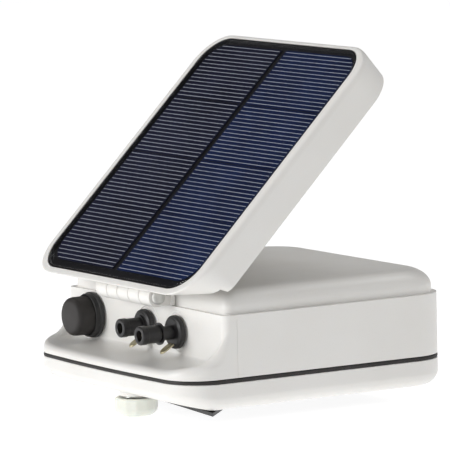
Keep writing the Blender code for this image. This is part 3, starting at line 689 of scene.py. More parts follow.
def coated_steel() -> bpy.types.Material:
    """Makes black powder-coated steel: an orange-peel skin with a few rubbed, shinier patches.

    Returns:
        The material.
    """
    material, nodes, links = new_material("black_coated_steel")
    place = nodes.new("ShaderNodeTexCoord")
    place.label = "place on the plate"
    peel = nodes.new("ShaderNodeTexNoise")
    peel.label = "orange peel of the powder"
    peel_bump = nodes.new("ShaderNodeBump")
    peel_bump.label = "height of the peel"
    rub = nodes.new("ShaderNodeTexNoise")
    rub.label = "rubbed patches"
    rub_tone = nodes.new("ShaderNodeValToRGB")
    rub_tone.label = "coat to rubbed coat"
    rub_gloss = nodes.new("ShaderNodeMapRange")
    rub_gloss.label = "rubbed patches shine more"
    shader = nodes.new("ShaderNodeBsdfPrincipled")
    shader.label = "powder coat"
    out = nodes.new("ShaderNodeOutputMaterial")
    out.label = "surface"
    groups = {"orange peel": (peel, peel_bump), "rubbing": (rub, rub_tone, rub_gloss)}
    arrange(nodes, groups, ((-1, place), (4, shader), (6, out)))

    peel.inputs["Scale"].default_value = 900.0
    peel.inputs["Detail"].default_value = 2.0
    peel_bump.inputs["Strength"].default_value = 0.45
    peel_bump.inputs["Distance"].default_value = 0.08 * MM
    rub.inputs["Scale"].default_value = 45.0
    rub.inputs["Detail"].default_value = 6.0
    rub_tone.color_ramp.elements[0].position = 0.4
    rub_tone.color_ramp.elements[0].color = (0.008, 0.008, 0.009, 1.0)
    rub_tone.color_ramp.elements[1].position = 0.75
    rub_tone.color_ramp.elements[1].color = (0.03, 0.03, 0.031, 1.0)
    rub_gloss.inputs["To Min"].default_value = 0.6
    rub_gloss.inputs["To Max"].default_value = 0.35

    links.new(place.outputs["Object"], peel.inputs["Vector"])
    links.new(peel.outputs["Fac"], peel_bump.inputs["Height"])
    links.new(peel_bump.outputs["Normal"], shader.inputs["Normal"])
    links.new(place.outputs["Object"], rub.inputs["Vector"])
    links.new(rub.outputs["Fac"], rub_tone.inputs["Fac"])
    links.new(rub_tone.outputs["Color"], shader.inputs["Base Color"])
    links.new(rub.outputs["Fac"], rub_gloss.inputs["Value"])
    links.new(rub_gloss.outputs["Result"], shader.inputs["Roughness"])
    links.new(shader.outputs["BSDF"], out.inputs["Surface"])
    return material


def solar_cell(name: str, deep: Colour, light: Colour) -> bpy.types.Material:
    """Makes silicon with its blue anti-reflection coat: cloudy tone, fine saw lines and a dark satin gloss.

    Args:
        name: The material's name.
        deep: The coat where it is thickest.
        light: The coat where it is thinnest.

    Returns:
        The material.
    """
    material, nodes, links = new_material(name)
    place = nodes.new("ShaderNodeTexCoord")
    place.label = "place on the panel"
    cloud = nodes.new("ShaderNodeTexNoise")
    cloud.label = "uneven thickness of the coat"
    tint = nodes.new("ShaderNodeValToRGB")
    tint.label = "thick to thin coat"
    stretch = nodes.new("ShaderNodeMapping")
    stretch.label = "stretched along the saw's wires"
    saw = nodes.new("ShaderNodeTexNoise")
    saw.label = "saw lines in the wafer"
    saw_bump = nodes.new("ShaderNodeBump")
    saw_bump.label = "depth of the saw lines"
    gloss = nodes.new("ShaderNodeMapRange")
    gloss.label = "coat thickness to roughness"
    shader = nodes.new("ShaderNodeBsdfPrincipled")
    shader.label = "coated silicon"
    out = nodes.new("ShaderNodeOutputMaterial")
    out.label = "surface"
    groups = {"coat": (cloud, tint, gloss), "saw lines": (stretch, saw, saw_bump)}
    arrange(nodes, groups, ((-1, place), (4, shader), (6, out)))

    cloud.inputs["Scale"].default_value = 32.0
    cloud.inputs["Detail"].default_value = 5.0
    cloud.inputs["Roughness"].default_value = 0.6
    tint.color_ramp.elements[0].position = 0.32
    tint.color_ramp.elements[0].color = (*deep, 1.0)
    tint.color_ramp.elements[1].position = 0.72
    tint.color_ramp.elements[1].color = (*light, 1.0)
    stretch.inputs["Scale"].default_value = (1800.0, 60.0, 60.0)
    saw.inputs["Scale"].default_value = 2.0
    saw_bump.inputs["Strength"].default_value = 0.2
    saw_bump.inputs["Distance"].default_value = 0.01 * MM
    gloss.inputs["To Min"].default_value = 0.22
    gloss.inputs["To Max"].default_value = 0.42
    shader.inputs["Metallic"].default_value = 0.0
    shader.inputs["Specular IOR Level"].default_value = 0.12

    links.new(place.outputs["Object"], cloud.inputs["Vector"])
    links.new(cloud.outputs["Fac"], tint.inputs["Fac"])
    links.new(tint.outputs["Color"], shader.inputs["Base Color"])
    links.new(cloud.outputs["Fac"], gloss.inputs["Value"])
    links.new(gloss.outputs["Result"], shader.inputs["Roughness"])
    links.new(place.outputs["Object"], stretch.inputs["Vector"])
    links.new(stretch.outputs["Vector"], saw.inputs["Vector"])
    links.new(saw.outputs["Fac"], saw_bump.inputs["Height"])
    links.new(saw_bump.outputs["Normal"], shader.inputs["Normal"])
    links.new(shader.outputs["BSDF"], out.inputs["Surface"])
    return material


def clear_resin() -> bpy.types.Material:
    """Makes the clear dome: it shows what is below, and mirrors more at a shallow angle.

    Returns:
        The material.
    """
    material, nodes, links = new_material("clear_resin")
    place = nodes.new("ShaderNodeTexCoord")
    place.label = "place on the panel"
    facing = nodes.new("ShaderNodeLayerWeight")
    facing.label = "how steeply the surface is seen"
    steep = nodes.new("ShaderNodeMath")
    steep.label = "mirror rises late"
    share = nodes.new("ShaderNodeMapRange")
    share.label = "share that is mirrored"
    ripple = nodes.new("ShaderNodeTexNoise")
    ripple.label = "slow ripple of the poured resin"
    ripple_bump = nodes.new("ShaderNodeBump")
    ripple_bump.label = "height of the ripple"
    wipe = nodes.new("ShaderNodeTexNoise")
    wipe.label = "wiping haze"
    wipe_gloss = nodes.new("ShaderNodeMapRange")
    wipe_gloss.label = "haze to roughness"
    below = nodes.new("ShaderNodeBsdfTransparent")
    below.label = "what is below the resin"
    mirror = nodes.new("ShaderNodeBsdfGlossy")
    mirror.label = "gloss of the resin"
    shader = nodes.new("ShaderNodeMixShader")
    shader.label = "see-through or gloss"
    out = nodes.new("ShaderNodeOutputMaterial")
    out.label = "surface"
    groups = {
        "share": (facing, steep, share),
        "ripple": (ripple, ripple_bump),
        "haze": (wipe, wipe_gloss),
    }
    arrange(nodes, groups, ((-1, place), (4, below), (5, mirror), (6, shader), (7, out)), down=340)

    facing.inputs["Blend"].default_value = 0.5
    steep.operation = "POWER"
    steep.inputs[1].default_value = 4.5
    share.inputs["To Min"].default_value = 0.02
    share.inputs["To Max"].default_value = 0.8
    ripple.inputs["Scale"].default_value = 14.0
    ripple.inputs["Detail"].default_value = 1.0
    ripple_bump.inputs["Strength"].default_value = 0.25
    ripple_bump.inputs["Distance"].default_value = 1.0 * MM
    wipe.inputs["Scale"].default_value = 60.0
    wipe.inputs["Detail"].default_value = 5.0
    wipe_gloss.inputs["To Min"].default_value = 0.02
    wipe_gloss.inputs["To Max"].default_value = 0.09
    below.inputs["Color"].default_value = (0.97, 0.975, 0.985, 1.0)
    mirror.inputs["Color"].default_value = (1.0, 1.0, 1.0, 1.0)

    links.new(facing.outputs["Facing"], steep.inputs[0])
    links.new(steep.outputs["Value"], share.inputs["Value"])
    links.new(share.outputs["Result"], shader.inputs["Fac"])
    links.new(place.outputs["Object"], ripple.inputs["Vector"])
    links.new(ripple.outputs["Fac"], ripple_bump.inputs["Height"])
    links.new(ripple_bump.outputs["Normal"], mirror.inputs["Normal"])
    links.new(place.outputs["Object"], wipe.inputs["Vector"])
    links.new(wipe.outputs["Fac"], wipe_gloss.inputs["Value"])
    links.new(wipe_gloss.outputs["Result"], mirror.inputs["Roughness"])
    links.new(below.outputs["BSDF"], shader.inputs[1])
    links.new(mirror.outputs["BSDF"], shader.inputs[2])
    links.new(shader.outputs["Shader"], out.inputs["Surface"])
    return material


def foam_sheet() -> bpy.types.Material:
    """Makes dark open-cell foam, with pores of one size.

    Returns:
        The material.
    """
    material, nodes, links = new_material("dark_foam")
    place = nodes.new("ShaderNodeTexCoord")
    place.label = "place on the pad"
    pores = nodes.new("ShaderNodeTexVoronoi")
    pores.label = "open pores"
    pore_shade = nodes.new("ShaderNodeValToRGB")
    pore_shade.label = "painted shade in the pores, lighter walls"
    pore_bump = nodes.new("ShaderNodeBump")
    pore_bump.label = "depth of the pores"
    shader = nodes.new("ShaderNodeBsdfPrincipled")
    shader.label = "foam"
    out = nodes.new("ShaderNodeOutputMaterial")
    out.label = "surface"
    group = nodes.new("NodeFrame")
    group.label = "pores"
    for column, node in enumerate((pores, pore_shade, pore_bump)):
        node.parent = group
        node.location = (column * 220, 0)
    for column, node in ((-1, place), (4, shader), (6, out)):
        node.location = (column * 220, -60)

    pores.inputs["Scale"].default_value = 900.0
    # The pores are coloured darker than the walls round them: painted shade in the hollows.
    pore_shade.color_ramp.elements[0].color = (0.015, 0.015, 0.016, 1.0)
    pore_shade.color_ramp.elements[1].position = 0.6
    pore_shade.color_ramp.elements[1].color = (0.09, 0.09, 0.095, 1.0)
    pore_bump.inputs["Distance"].default_value = 0.4 * MM
    shader.inputs["Roughness"].default_value = 0.95

    links.new(place.outputs["Object"], pores.inputs["Vector"])
    links.new(pores.outputs["Distance"], pore_shade.inputs["Fac"])
    links.new(pore_shade.outputs["Color"], shader.inputs["Base Color"])
    links.new(pores.outputs["Distance"], pore_bump.inputs["Height"])
    links.new(pore_bump.outputs["Normal"], shader.inputs["Normal"])
    links.new(shader.outputs["BSDF"], out.inputs["Surface"])
    return material


def solder_mask() -> bpy.types.Material:
    """Makes green solder mask with darker tracks that show through it.

    Returns:
        The material.
    """
    material, nodes, links = new_material("green_circuit_board")
    place = nodes.new("ShaderNodeTexCoord")
    place.label = "place on the board"
    tracks = nodes.new("ShaderNodeTexBrick")
    tracks.label = "copper tracks"
    weave = nodes.new("ShaderNodeTexNoise")
    weave.label = "glass weave"
    weave_mix = nodes.new("ShaderNodeMix")
    weave_mix.label = "weave over the tracks"
    track_bump = nodes.new("ShaderNodeBump")
    track_bump.label = "height of the tracks"
    shader = nodes.new("ShaderNodeBsdfPrincipled")
    shader.label = "solder mask"
    out = nodes.new("ShaderNodeOutputMaterial")
    out.label = "surface"
    group = nodes.new("NodeFrame")
    group.label = "tracks"
    for column, node in enumerate((tracks, weave, weave_mix, track_bump)):
        node.parent = group
        node.location = (column * 220, 0)
    for column, node in ((-1, place), (5, shader), (7, out)):
        node.location = (column * 220, -60)

    tracks.inputs["Scale"].default_value = 140.0
    tracks.inputs["Color1"].default_value = (0.012, 0.11, 0.035, 1.0)
    tracks.inputs["Color2"].default_value = (0.018, 0.15, 0.05, 1.0)
    tracks.inputs["Mortar"].default_value = (0.006, 0.06, 0.02, 1.0)
    tracks.inputs["Mortar Size"].default_value = 0.03
    weave.inputs["Scale"].default_value = 2200.0
    weave_mix.data_type = "RGBA"
    weave_mix.blend_type = "OVERLAY"
    weave_mix.inputs["Factor"].default_value = 0.25
    track_bump.inputs["Distance"].default_value = 0.05 * MM
    shader.inputs["Roughness"].default_value = 0.35

    links.new(place.outputs["Object"], tracks.inputs["Vector"])
    links.new(place.outputs["Object"], weave.inputs["Vector"])
    links.new(tracks.outputs["Color"], weave_mix.inputs["A"])
    links.new(weave.outputs["Color"], weave_mix.inputs["B"])
    links.new(weave_mix.outputs["Result"], shader.inputs["Base Color"])
    links.new(tracks.outputs["Fac"], track_bump.inputs["Height"])
    links.new(track_bump.outputs["Normal"], shader.inputs["Normal"])
    links.new(shader.outputs["BSDF"], out.inputs["Surface"])
    return material


def wound_wire() -> bpy.types.Material:
    """Makes close turns of enamelled copper wire, with painted shade between the turns and a painted
    highlight on each.

    Returns:
        The material.
    """
    material, nodes, links = new_material("enamelled_winding")
    place = nodes.new("ShaderNodeTexCoord")
    place.label = "place on the coil"
    turns = nodes.new("ShaderNodeTexWave")
    turns.label = "turns of wire"
    turn_shade_and_highlight = nodes.new("ShaderNodeValToRGB")
    turn_shade_and_highlight.label = "painted shade in the gaps to painted highlight on the crowns"
    turn_bump = nodes.new("ShaderNodeBump")
    turn_bump.label = "roundness of the wire"
    shader = nodes.new("ShaderNodeBsdfPrincipled")
    shader.label = "enamelled copper"
    out = nodes.new("ShaderNodeOutputMaterial")
    out.label = "surface"
    group = nodes.new("NodeFrame")
    group.label = "turns"
    for column, node in enumerate((turns, turn_shade_and_highlight, turn_bump)):
        node.parent = group
        node.location = (column * 220, 0)
    for column, node in ((-1, place), (4, shader), (6, out)):
        node.location = (column * 220, -60)

    turns.bands_direction = "Y"
    turns.inputs["Scale"].default_value = 600.0
    turns.inputs["Distortion"].default_value = 0.4
    # The wire's colour is painted light: dark shade in the gaps between turns, a bright highlight on each
    # turn's crown.
    turn_shade_and_highlight.color_ramp.elements[0].color = (0.16, 0.05, 0.015, 1.0)
    turn_shade_and_highlight.color_ramp.elements[1].color = (0.62, 0.26, 0.09, 1.0)
    turn_bump.inputs["Distance"].default_value = 0.15 * MM
    shader.inputs["Metallic"].default_value = 0.7
    shader.inputs["Roughness"].default_value = 0.32
    shader.inputs["Coat Weight"].default_value = 0.6

    links.new(place.outputs["Object"], turns.inputs["Vector"])
    links.new(turns.outputs["Fac"], turn_shade_and_highlight.inputs["Fac"])
    links.new(turn_shade_and_highlight.outputs["Color"], shader.inputs["Base Color"])
    links.new(turns.outputs["Fac"], turn_bump.inputs["Height"])
    links.new(turn_bump.outputs["Normal"], shader.inputs["Normal"])
    links.new(shader.outputs["BSDF"], out.inputs["Surface"])
    return material


@dataclass
class Finishes:
    """Every finish of the energizer, made once."""

    white: bpy.types.Material = field(
        default_factory=lambda: moulded(
            Moulding(
                "white_casing_plastic", (0.83, 0.82, 0.795), (0.8, 0.785, 0.755), (0.3, 0.42), 0.5 * MM,
                0.02 * MM, 0.12,
            )
        )
    )
    knob_white: bpy.types.Material = field(
        default_factory=lambda: moulded(
            Moulding(
                "translucent_knob_plastic", (0.82, 0.835, 0.78), (0.76, 0.78, 0.71), (0.34, 0.46), 0.6 * MM,
                0.02 * MM, 0.45,
            )
        )
    )
    rubber: bpy.types.Material = field(
        default_factory=lambda: moulded(
            Moulding(
                "black_rubber", (0.026, 0.023, 0.022), (0.016, 0.014, 0.013), (0.5, 0.68), 0.35 * MM,
                0.06 * MM, 0.0, 0.4,
            )
        )
    )
    black: bpy.types.Material = field(
        default_factory=lambda: moulded(
            Moulding(
                "black_control_plastic", (0.017, 0.016, 0.017), (0.011, 0.011, 0.012), (0.3, 0.44),
                0.3 * MM, 0.05 * MM, 0.0, 0.3,
            )
        )
    )
    grey: bpy.types.Material = field(
        default_factory=lambda: moulded(
            Moulding(
                "grey_switch_plastic", (0.21, 0.21, 0.22), (0.17, 0.17, 0.18), (0.42, 0.55), 0.5 * MM,
                0.03 * MM,
            )
        )
    )
    backing: bpy.types.Material = field(
        default_factory=lambda: moulded(
            Moulding(
                "black_panel_backing", (0.011, 0.01, 0.01), (0.006, 0.006, 0.007), (0.3, 0.45), 0.4 * MM,
                0.01 * MM,
            )
        )
    )
    battery: bpy.types.Material = field(
        default_factory=lambda: moulded(
            Moulding(
                "battery_case", (0.09, 0.1, 0.11), (0.07, 0.078, 0.088), (0.42, 0.6), 0.7 * MM, 0.06 * MM,
                0.0, 0.5,
            )
        )
    )
    ferrite: bpy.types.Material = field(
        default_factory=lambda: moulded(
            Moulding(
                "sintered_ferrite", (0.075, 0.075, 0.08), (0.04, 0.04, 0.045), (0.55, 0.75), 0.4 * MM,
                0.08 * MM, 0.0, 0.2,
            )
        )
    )
    capacitor: bpy.types.Material = field(
        default_factory=lambda: moulded(
            Moulding(
                "capacitor_case", (0.1, 0.17, 0.34), (0.075, 0.13, 0.27), (0.3, 0.42), 0.6 * MM, 0.02 * MM
            )
        )
    )
    steel: bpy.types.Material = field(
        default_factory=lambda: worked(
            Metal("zinc_plated_steel", (0.66, 0.66, 0.64), (0.42, 0.42, 0.4), (0.22, 0.4), Grain.TURNED)
        )
    )
    matt_zinc: bpy.types.Material = field(
        default_factory=lambda: worked(
            Metal("matt_zinc_steel", (0.78, 0.78, 0.76), (0.62, 0.62, 0.6), (0.55, 0.7), Grain.TURNED)
        )
    )
    brass: bpy.types.Material = field(
        default_factory=lambda: worked(
            Metal("dull_brass", (0.62, 0.56, 0.4), (0.36, 0.32, 0.19), (0.25, 0.45), Grain.ROLLED)
        )
    )
    silver: bpy.types.Material = field(
        default_factory=lambda: worked(
            Metal("printed_silver", (0.88, 0.91, 0.98), (0.7, 0.73, 0.82), (0.38, 0.55), Grain.ROLLED, 0.35)
        )
    )
    coated: bpy.types.Material = field(default_factory=coated_steel)
    # The two cell columns take a darker copy and a lighter, bluer copy of one cell finish: painted shade on
    # the left column, painted light on the right.
    cell_left_painted_shade: bpy.types.Material = field(
        default_factory=lambda: solar_cell("solar_cell_painted_shade", (0.006, 0.007, 0.018), (0.014, 0.016, 0.04))
    )
    cell_right_painted_light: bpy.types.Material = field(
        default_factory=lambda: solar_cell("solar_cell_painted_light", (0.005, 0.01, 0.04), (0.011, 0.024, 0.088))
    )
    resin: bpy.types.Material = field(default_factory=clear_resin)
    foam: bpy.types.Material = field(default_factory=foam_sheet)
    board: bpy.types.Material = field(default_factory=solder_mask)
    winding: bpy.types.Material = field(default_factory=wound_wire)


# -----------------------------------------------------------------------------------------------------------
# Sub-assemblies
# -----------------------------------------------------------------------------------------------------------


def middle(node: str) -> Vector:
    """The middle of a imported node's box."""
    low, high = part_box(node)
    return (low + high) / 2


@dataclass
class Casing:
    """The white upper and lower casing with the black seal between them."""

    finishes: Finishes
    seal_z: float = field(default_factory=lambda: middle("base_gasket").z)
    half_w: float = field(default_factory=lambda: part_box("main_housing")[1].x)
    front: float = -67.0 * MM
    rear: float = field(default_factory=lambda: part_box("main_housing")[1].y)
    corner: float = 17.0 * MM
    bow: float = 1.5 * MM
    wall: float = 2.4 * MM
    ledge: float = 2.2 * MM
    face: float = -47.0 * MM
    face_dish: float = 0.8 * MM
    cheek: float = 3.5 * MM
    base_depth: float = 12.8 * MM
    nose_rise: float = 3.4 * MM
    # How far in from the nose and how high above the seal the front runs: in its middle, then by its cheeks.
    face_middle: tuple = (
        (0, 0.95), (0, 2.4), (0.7, 3.9), (2.4, 4.6), (8, 5),
        (13, 5.3), (17, 5.6), (19.2, 6.2), (20, 7.4), (20, 27.1),
    )
    face_cheek: tuple = (
        (0, 0.95), (0, 2.8), (0.8, 4.8), (3, 6.3), (7.9, 7.6),
        (11.4, 9.4), (15.4, 13.6), (18.4, 18), (20, 21), (20, 27.1),
    )
    crown: tuple = ((0, 27.1), (0, 30.0), (0.8, 33.0), (2.7, 35.4), (5.6, 37.0), (9.6, 37.6))
    base_outer: tuple = ((0, 0.95), (0, 6.6), (0.8, 9.2), (2.6, 11.3), (5.0, 12.4), (8.5, 12.8), (17.5, 12.8))
    base_inner: tuple = ((0, 0.95), (0, 5.5), (1.2, 8.4), (3.6, 10.0), (7.0, 10.4), (15.1, 10.4))

    def cheek_share(self, x: float) -> float:
        """0 in the middle of the face, rising to 1 at its cheeks."""
        t = min(1.0, max(0.0, (abs(x) - 40 * MM) / (24 * MM)))
        return t * t * (3 - 2 * t)

    def upper_rings(self, inward: float, lower: float, per_span: int) -> list[Ring]:
        """Lays out one skin of the upper casing.

        Args:
            inward: How far this skin lies inside the outer one.
            lower: How far it lies below it.
            per_span: How many rings each span of the profile gets.

        Returns:
            Its rings, from the seal up to the top.
        """
        half, rear, corner = self.half_w - inward, self.rear - inward, self.corner - inward
        nose = plan(half, self.front + inward, rear, corner, corner, self.bow)
        upper = plan(half, self.face + inward, rear, self.cheek, corner, -self.face_dish)
        rings = []
        for centre, side in zip(eased(self.face_middle, per_span), eased(self.face_cheek, per_span)):
            ring = []
            for (x0, y0), (x1, y1) in zip(nose, upper):
                w = self.cheek_share(x0)
                share = max(0.0, (centre[0] + (side[0] - centre[0]) * w) / 20.0)
                height = (centre[1] + (side[1] - centre[1]) * w) * MM - lower
                z = self.seal_z + max(height, 0.95 * MM)
                ring.append((x0 + (x1 - x0) * share, y0 + (y1 - y0) * share, z))
            rings.append(ring)
        for inset, height in eased(self.crown, per_span):
            edge = inward + self.ledge + inset * MM
            corner = self.corner - self.ledge
            outline = plan(self.half_w - edge, self.face + edge, self.rear - edge, self.cheek, corner)
            rings.append([(x, y, self.seal_z + height * MM - lower) for x, y in outline])
        return rings

    def base_rings(self, inward: float, steps: Outline) -> list[Ring]:
        """Lays out one skin of the lower casing, whose nose rises towards the front.

        Args:
            inward: How far this skin lies inside the outer one.
            steps: (inset, depth) points from the seal down.

        Returns:
            Its rings.
        """
        rings = []
        for inset, depth in steps:
            edge = inward + inset * MM
            corner = max(self.corner - edge, 2 * MM)
            outline = plan(self.half_w - edge, self.front + edge, self.rear - edge, corner, corner, self.bow)
            ring = []
            for x, y in outline:
                t = min(1.0, max(0.0, (-50 * MM - y) / (14 * MM)))
                ring.append((x, y, self.seal_z - depth * MM * (1 - self.nose_rise / self.base_depth * t)))
            rings.append(ring)
        return rings

    def bosses(self, radius: float, low: float, high: float) -> list[bpy.types.Object]:
        """Posts or bores at the four casing screws, between two heights above the seal.

        Args:
            radius: Their radius.
            low: Where they start above the seal.
            high: Where they end above the seal.

        Returns:
            The four pieces.
        """
        made = []
        for k in range(4):
            at = middle(f"base_screw_{k + 1}")
            post = lathe(f"post_{k}", [(radius, low), (radius, high)], 40)
            made.append(turn_to(post, (at.x, at.y, self.seal_z)))
        return made

    def build_upper(self) -> bpy.types.Object:
        """Builds the upper casing: scooped front, ledge, crown, screw posts, and the holes in its face.

        Returns:
            The upper casing.
        """
        outer = self.upper_rings(0.0, 0.0, 4)
        inner = self.upper_rings(self.wall, self.wall, 1)
        shell = soften(skin("casing_upper", inner[::-1] + outer), 0.35 * MM)
        combine(shell, join("posts", self.bosses(3.6 * MM, 3.0 * MM, 35.9 * MM)), "UNION")
        holes = self.bosses(1.7 * MM, 0.0, 16.0 * MM)
        through = [
            ("switch_plunger", 5.6), ("left_post", 3.9), ("right_post", 3.9), ("panel_grommet", 2.2),
            ("bracket_screw_1", 1.2), ("bracket_screw_2", 1.2),
        ]
        for node, radius in through:
            at = middle(node)
            hole = lathe(f"hole_{node}", [(radius * MM, -8 * MM), (radius * MM, 8 * MM)], 48)
            holes.append(turn_to(hole, (at.x, self.face, at.z), Facing.FORWARD))
        for side in (-1, 1):
            seam = (side * self.half_w, -41.0 * MM, self.seal_z + 13.0 * MM)
            holes.append(block(f"mould_seam_{side}", (0.3 * MM, 0.35 * MM, 25.0 * MM), seam))
        combine(shell, join("holes", holes))
        return fit(shell, "housing", "white_plastic", self.finishes.white, "main_housing")

    def build_base(self) -> bpy.types.Object:
        """Builds the lower casing: a tray with screw bores and the thumb screw's boss.

        Returns:
            The lower casing.
        """
        outer = self.base_rings(0.0, eased(self.base_outer, 4))
        inner = self.base_rings(self.wall, self.base_inner)
        tray = soften(skin("casing_base", inner[::-1] + outer), 0.35 * MM)
        posts = self.bosses(4.0 * MM, -11.5 * MM, 2.7 * MM)
        knob = middle("thumb_stud")
        profile = [(6.9, -12.6), (6.9, -9.0), (5.5, -8.5), (5.5, -1.5)]
        boss = lathe("thumb_boss", [(r * MM, h * MM) for r, h in profile])
        posts.append(turn_to(boss, (knob.x, knob.y, self.seal_z)))
        combine(tray, join("posts", posts), "UNION")
        bores = self.bosses(3.1 * MM, -16 * MM, -9.4 * MM) + self.bosses(1.9 * MM, -9.6 * MM, 5 * MM)
        bore = lathe("thumb_bore", [(3.3 * MM, -20 * MM), (3.3 * MM, -3.5 * MM)])
        bores.append(turn_to(bore, (knob.x, knob.y, self.seal_z)))
        for bore in bores:
            combine(tray, bore)
        return fit(tray, "housing", "white_plastic", self.finishes.white, "base_tray")

    def build_seal(self) -> bpy.types.Object:
        """Builds the black seal, whose outer edge bulges a little between the casings.

        Returns:
            The seal.
        """
        rings = []
        section = ((0.12, -0.65), (0.0, -0.35), (0.0, 0.35), (0.12, 0.65), (2.2, 0.65), (2.2, -0.65))
        for inset, height in section:
            edge = inset * MM
            corner = self.corner - edge
            outline = plan(self.half_w - edge, self.front + edge, self.rear - edge, corner, corner, self.bow)
            rings.append([(x, y, self.seal_z + height * MM) for x, y in outline])
        seal = skin("casing_seal", rings, closed=True)
        return fit(seal, "housing", "black_rubber", self.finishes.rubber, "base_gasket")

    def build_rings(self) -> bpy.types.Object:
        """Builds the low raised rings that the mould leaves on the face round the two terminals.

        Returns:
            Both rings, as one piece.
        """
        made = []
        for side in ("left", "right"):
            at = middle(f"{side}_post")
            section = [(8.2, 0.3), (8.2, 1.0), (8.45, 1.3), (8.85, 1.3), (9.1, 1.0), (9.1, 0.3)]
            ring = lathe(f"ring_{side}", [(r * MM, h * MM) for r, h in section], 96, hollow=True)
            made.append(turn_to(ring, (at.x, self.face + 1.0 * MM + self.face_dish, at.z), Facing.FORWARD))
        return fit(join("terminal_rings", made), "housing", "white_plastic", self.finishes.white)


def cross_screw(name: str, head_r: float, head_t: float, shank_r: float, length: float) -> bpy.types.Object:
    """Makes a countersunk screw along +Z with its head at the origin, a cross recess and a helical thread.

    Args:
        name: The object's name.
        head_r: The head's radius.
        head_t: The head's height.
        shank_r: The thread's outer radius.
        length: The whole length.

    Returns:
        The screw.
    """
    profile = [(head_r * 0.9, 0.0), (head_r, head_t * 0.08), (head_r, head_t * 0.25), (shank_r * 0.8, head_t)]
    head = lathe(name, [*profile, (shank_r * 0.8, head_t + 0.5 * MM)], 40)
    long, short = head_r, head_r * 0.24
    arms = [block("arm", (*size, head_t), (0, 0, 0)) for size in ((long, short), (short, long))]
    for arm in arms:
        combine(head, arm)
    shank = thread(f"{name}_thread", shank_r, head_t + 0.2 * MM, length, 0.8 * MM)
    return join(name, [head, shank])


@dataclass
class Underside:
    """The black mounting plate and the screws below."""

    finishes: Finishes

    def build(self) -> None:
        """Dresses the plate and builds every screw that shows from below."""
        dress_node("mounting_plate", self.finishes.coated, 0.2 * MM)
        for k in range(4):
            low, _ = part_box(f"base_screw_{k + 1}")
            at = middle(f"base_screw_{k + 1}")
            screw = cross_screw(f"casing_screw_{k + 1}", 2.8 * MM, 2.2 * MM, 1.35 * MM, 22 * MM)
            turn_to(screw, (at.x, at.y, low.z))
            fit(screw, "housing", "zinc_steel", self.finishes.steel, f"base_screw_{k + 1}")
        for k in range(4):
            low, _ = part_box(f"plate_screw_{k + 1}")
            at = middle(f"plate_screw_{k + 1}")
            screw = cross_screw(f"mount_screw_{k + 1}", 2.9 * MM, 1.5 * MM, 1.2 * MM, 3.0 * MM)
            turn_to(screw, (at.x, at.y, low.z))
            fit(screw, "housing", "coated_steel", self.finishes.coated, f"plate_screw_{k + 1}")


@dataclass
class ThumbScrew:
    """The white lobed knob under the nose, with its threaded stud and washer."""

    finishes: Finishes
    lobes: int = 12
    lobe_depth: float = 0.032
    stud_r: float = 2.9 * MM

    def lobe(self, turn: float, height: float) -> float:
        """The knob's radius at this angle, as a share of its full radius."""
        return 1.0 - self.lobe_depth * (0.5 - 0.5 * math.cos(self.lobes * turn)) ** 0.8

    def build(self) -> None:
        """Builds the knob, the stud and the washer."""
        low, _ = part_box("thumb_knob")
        at = middle("thumb_knob")
        profile = [
            (2.0, 0.75), (3.0, 0.35), (5.4, 0.0), (6.5, 0.15), (7.6, 0.7), (8.4, 1.5), (8.95, 2.5),
            (9.25, 3.6), (9.25, 7.1), (9.05, 7.55), (8.6, 7.9), (7.2, 7.9), (7.2, 7.7), (3.3, 7.7),
            (3.3, 4.2), (2.0, 4.1),
        ]
        points = [(r * MM, h * MM) for r, h in profile]
        knob = lathe("thumb_grip", points, 144, swell=self.lobe)
        turn_to(soften(knob, 0.15 * MM, 2, 40), (at.x, at.y, low.z))
        fit(knob, "thumb_screw", "white_knob", self.finishes.knob_white, "thumb_knob")
        stud_low, stud_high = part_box("thumb_stud")
        stud = thread("thumb_stud_thread", self.stud_r, stud_low.z, stud_high.z, 1.0 * MM)
        turn_to(stud, (at.x, at.y, 0.0))
        fit(stud, "thumb_screw", "zinc_steel", self.finishes.steel, "thumb_stud")
        washer_low, washer_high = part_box("thumb_washer")
        bore, rim = 3.4 * MM, 6.4 * MM
        ring = [(bore, washer_low.z), (rim, washer_low.z), (rim, washer_high.z), (bore, washer_high.z)]
        washer = soften(lathe("thumb_washer_ring", ring, 64, hollow=True), 0.1 * MM, 2)
        turn_to(washer, (at.x, at.y, 0.0))
        fit(washer, "thumb_washer", "zinc_steel", self.finishes.steel, "thumb_washer")


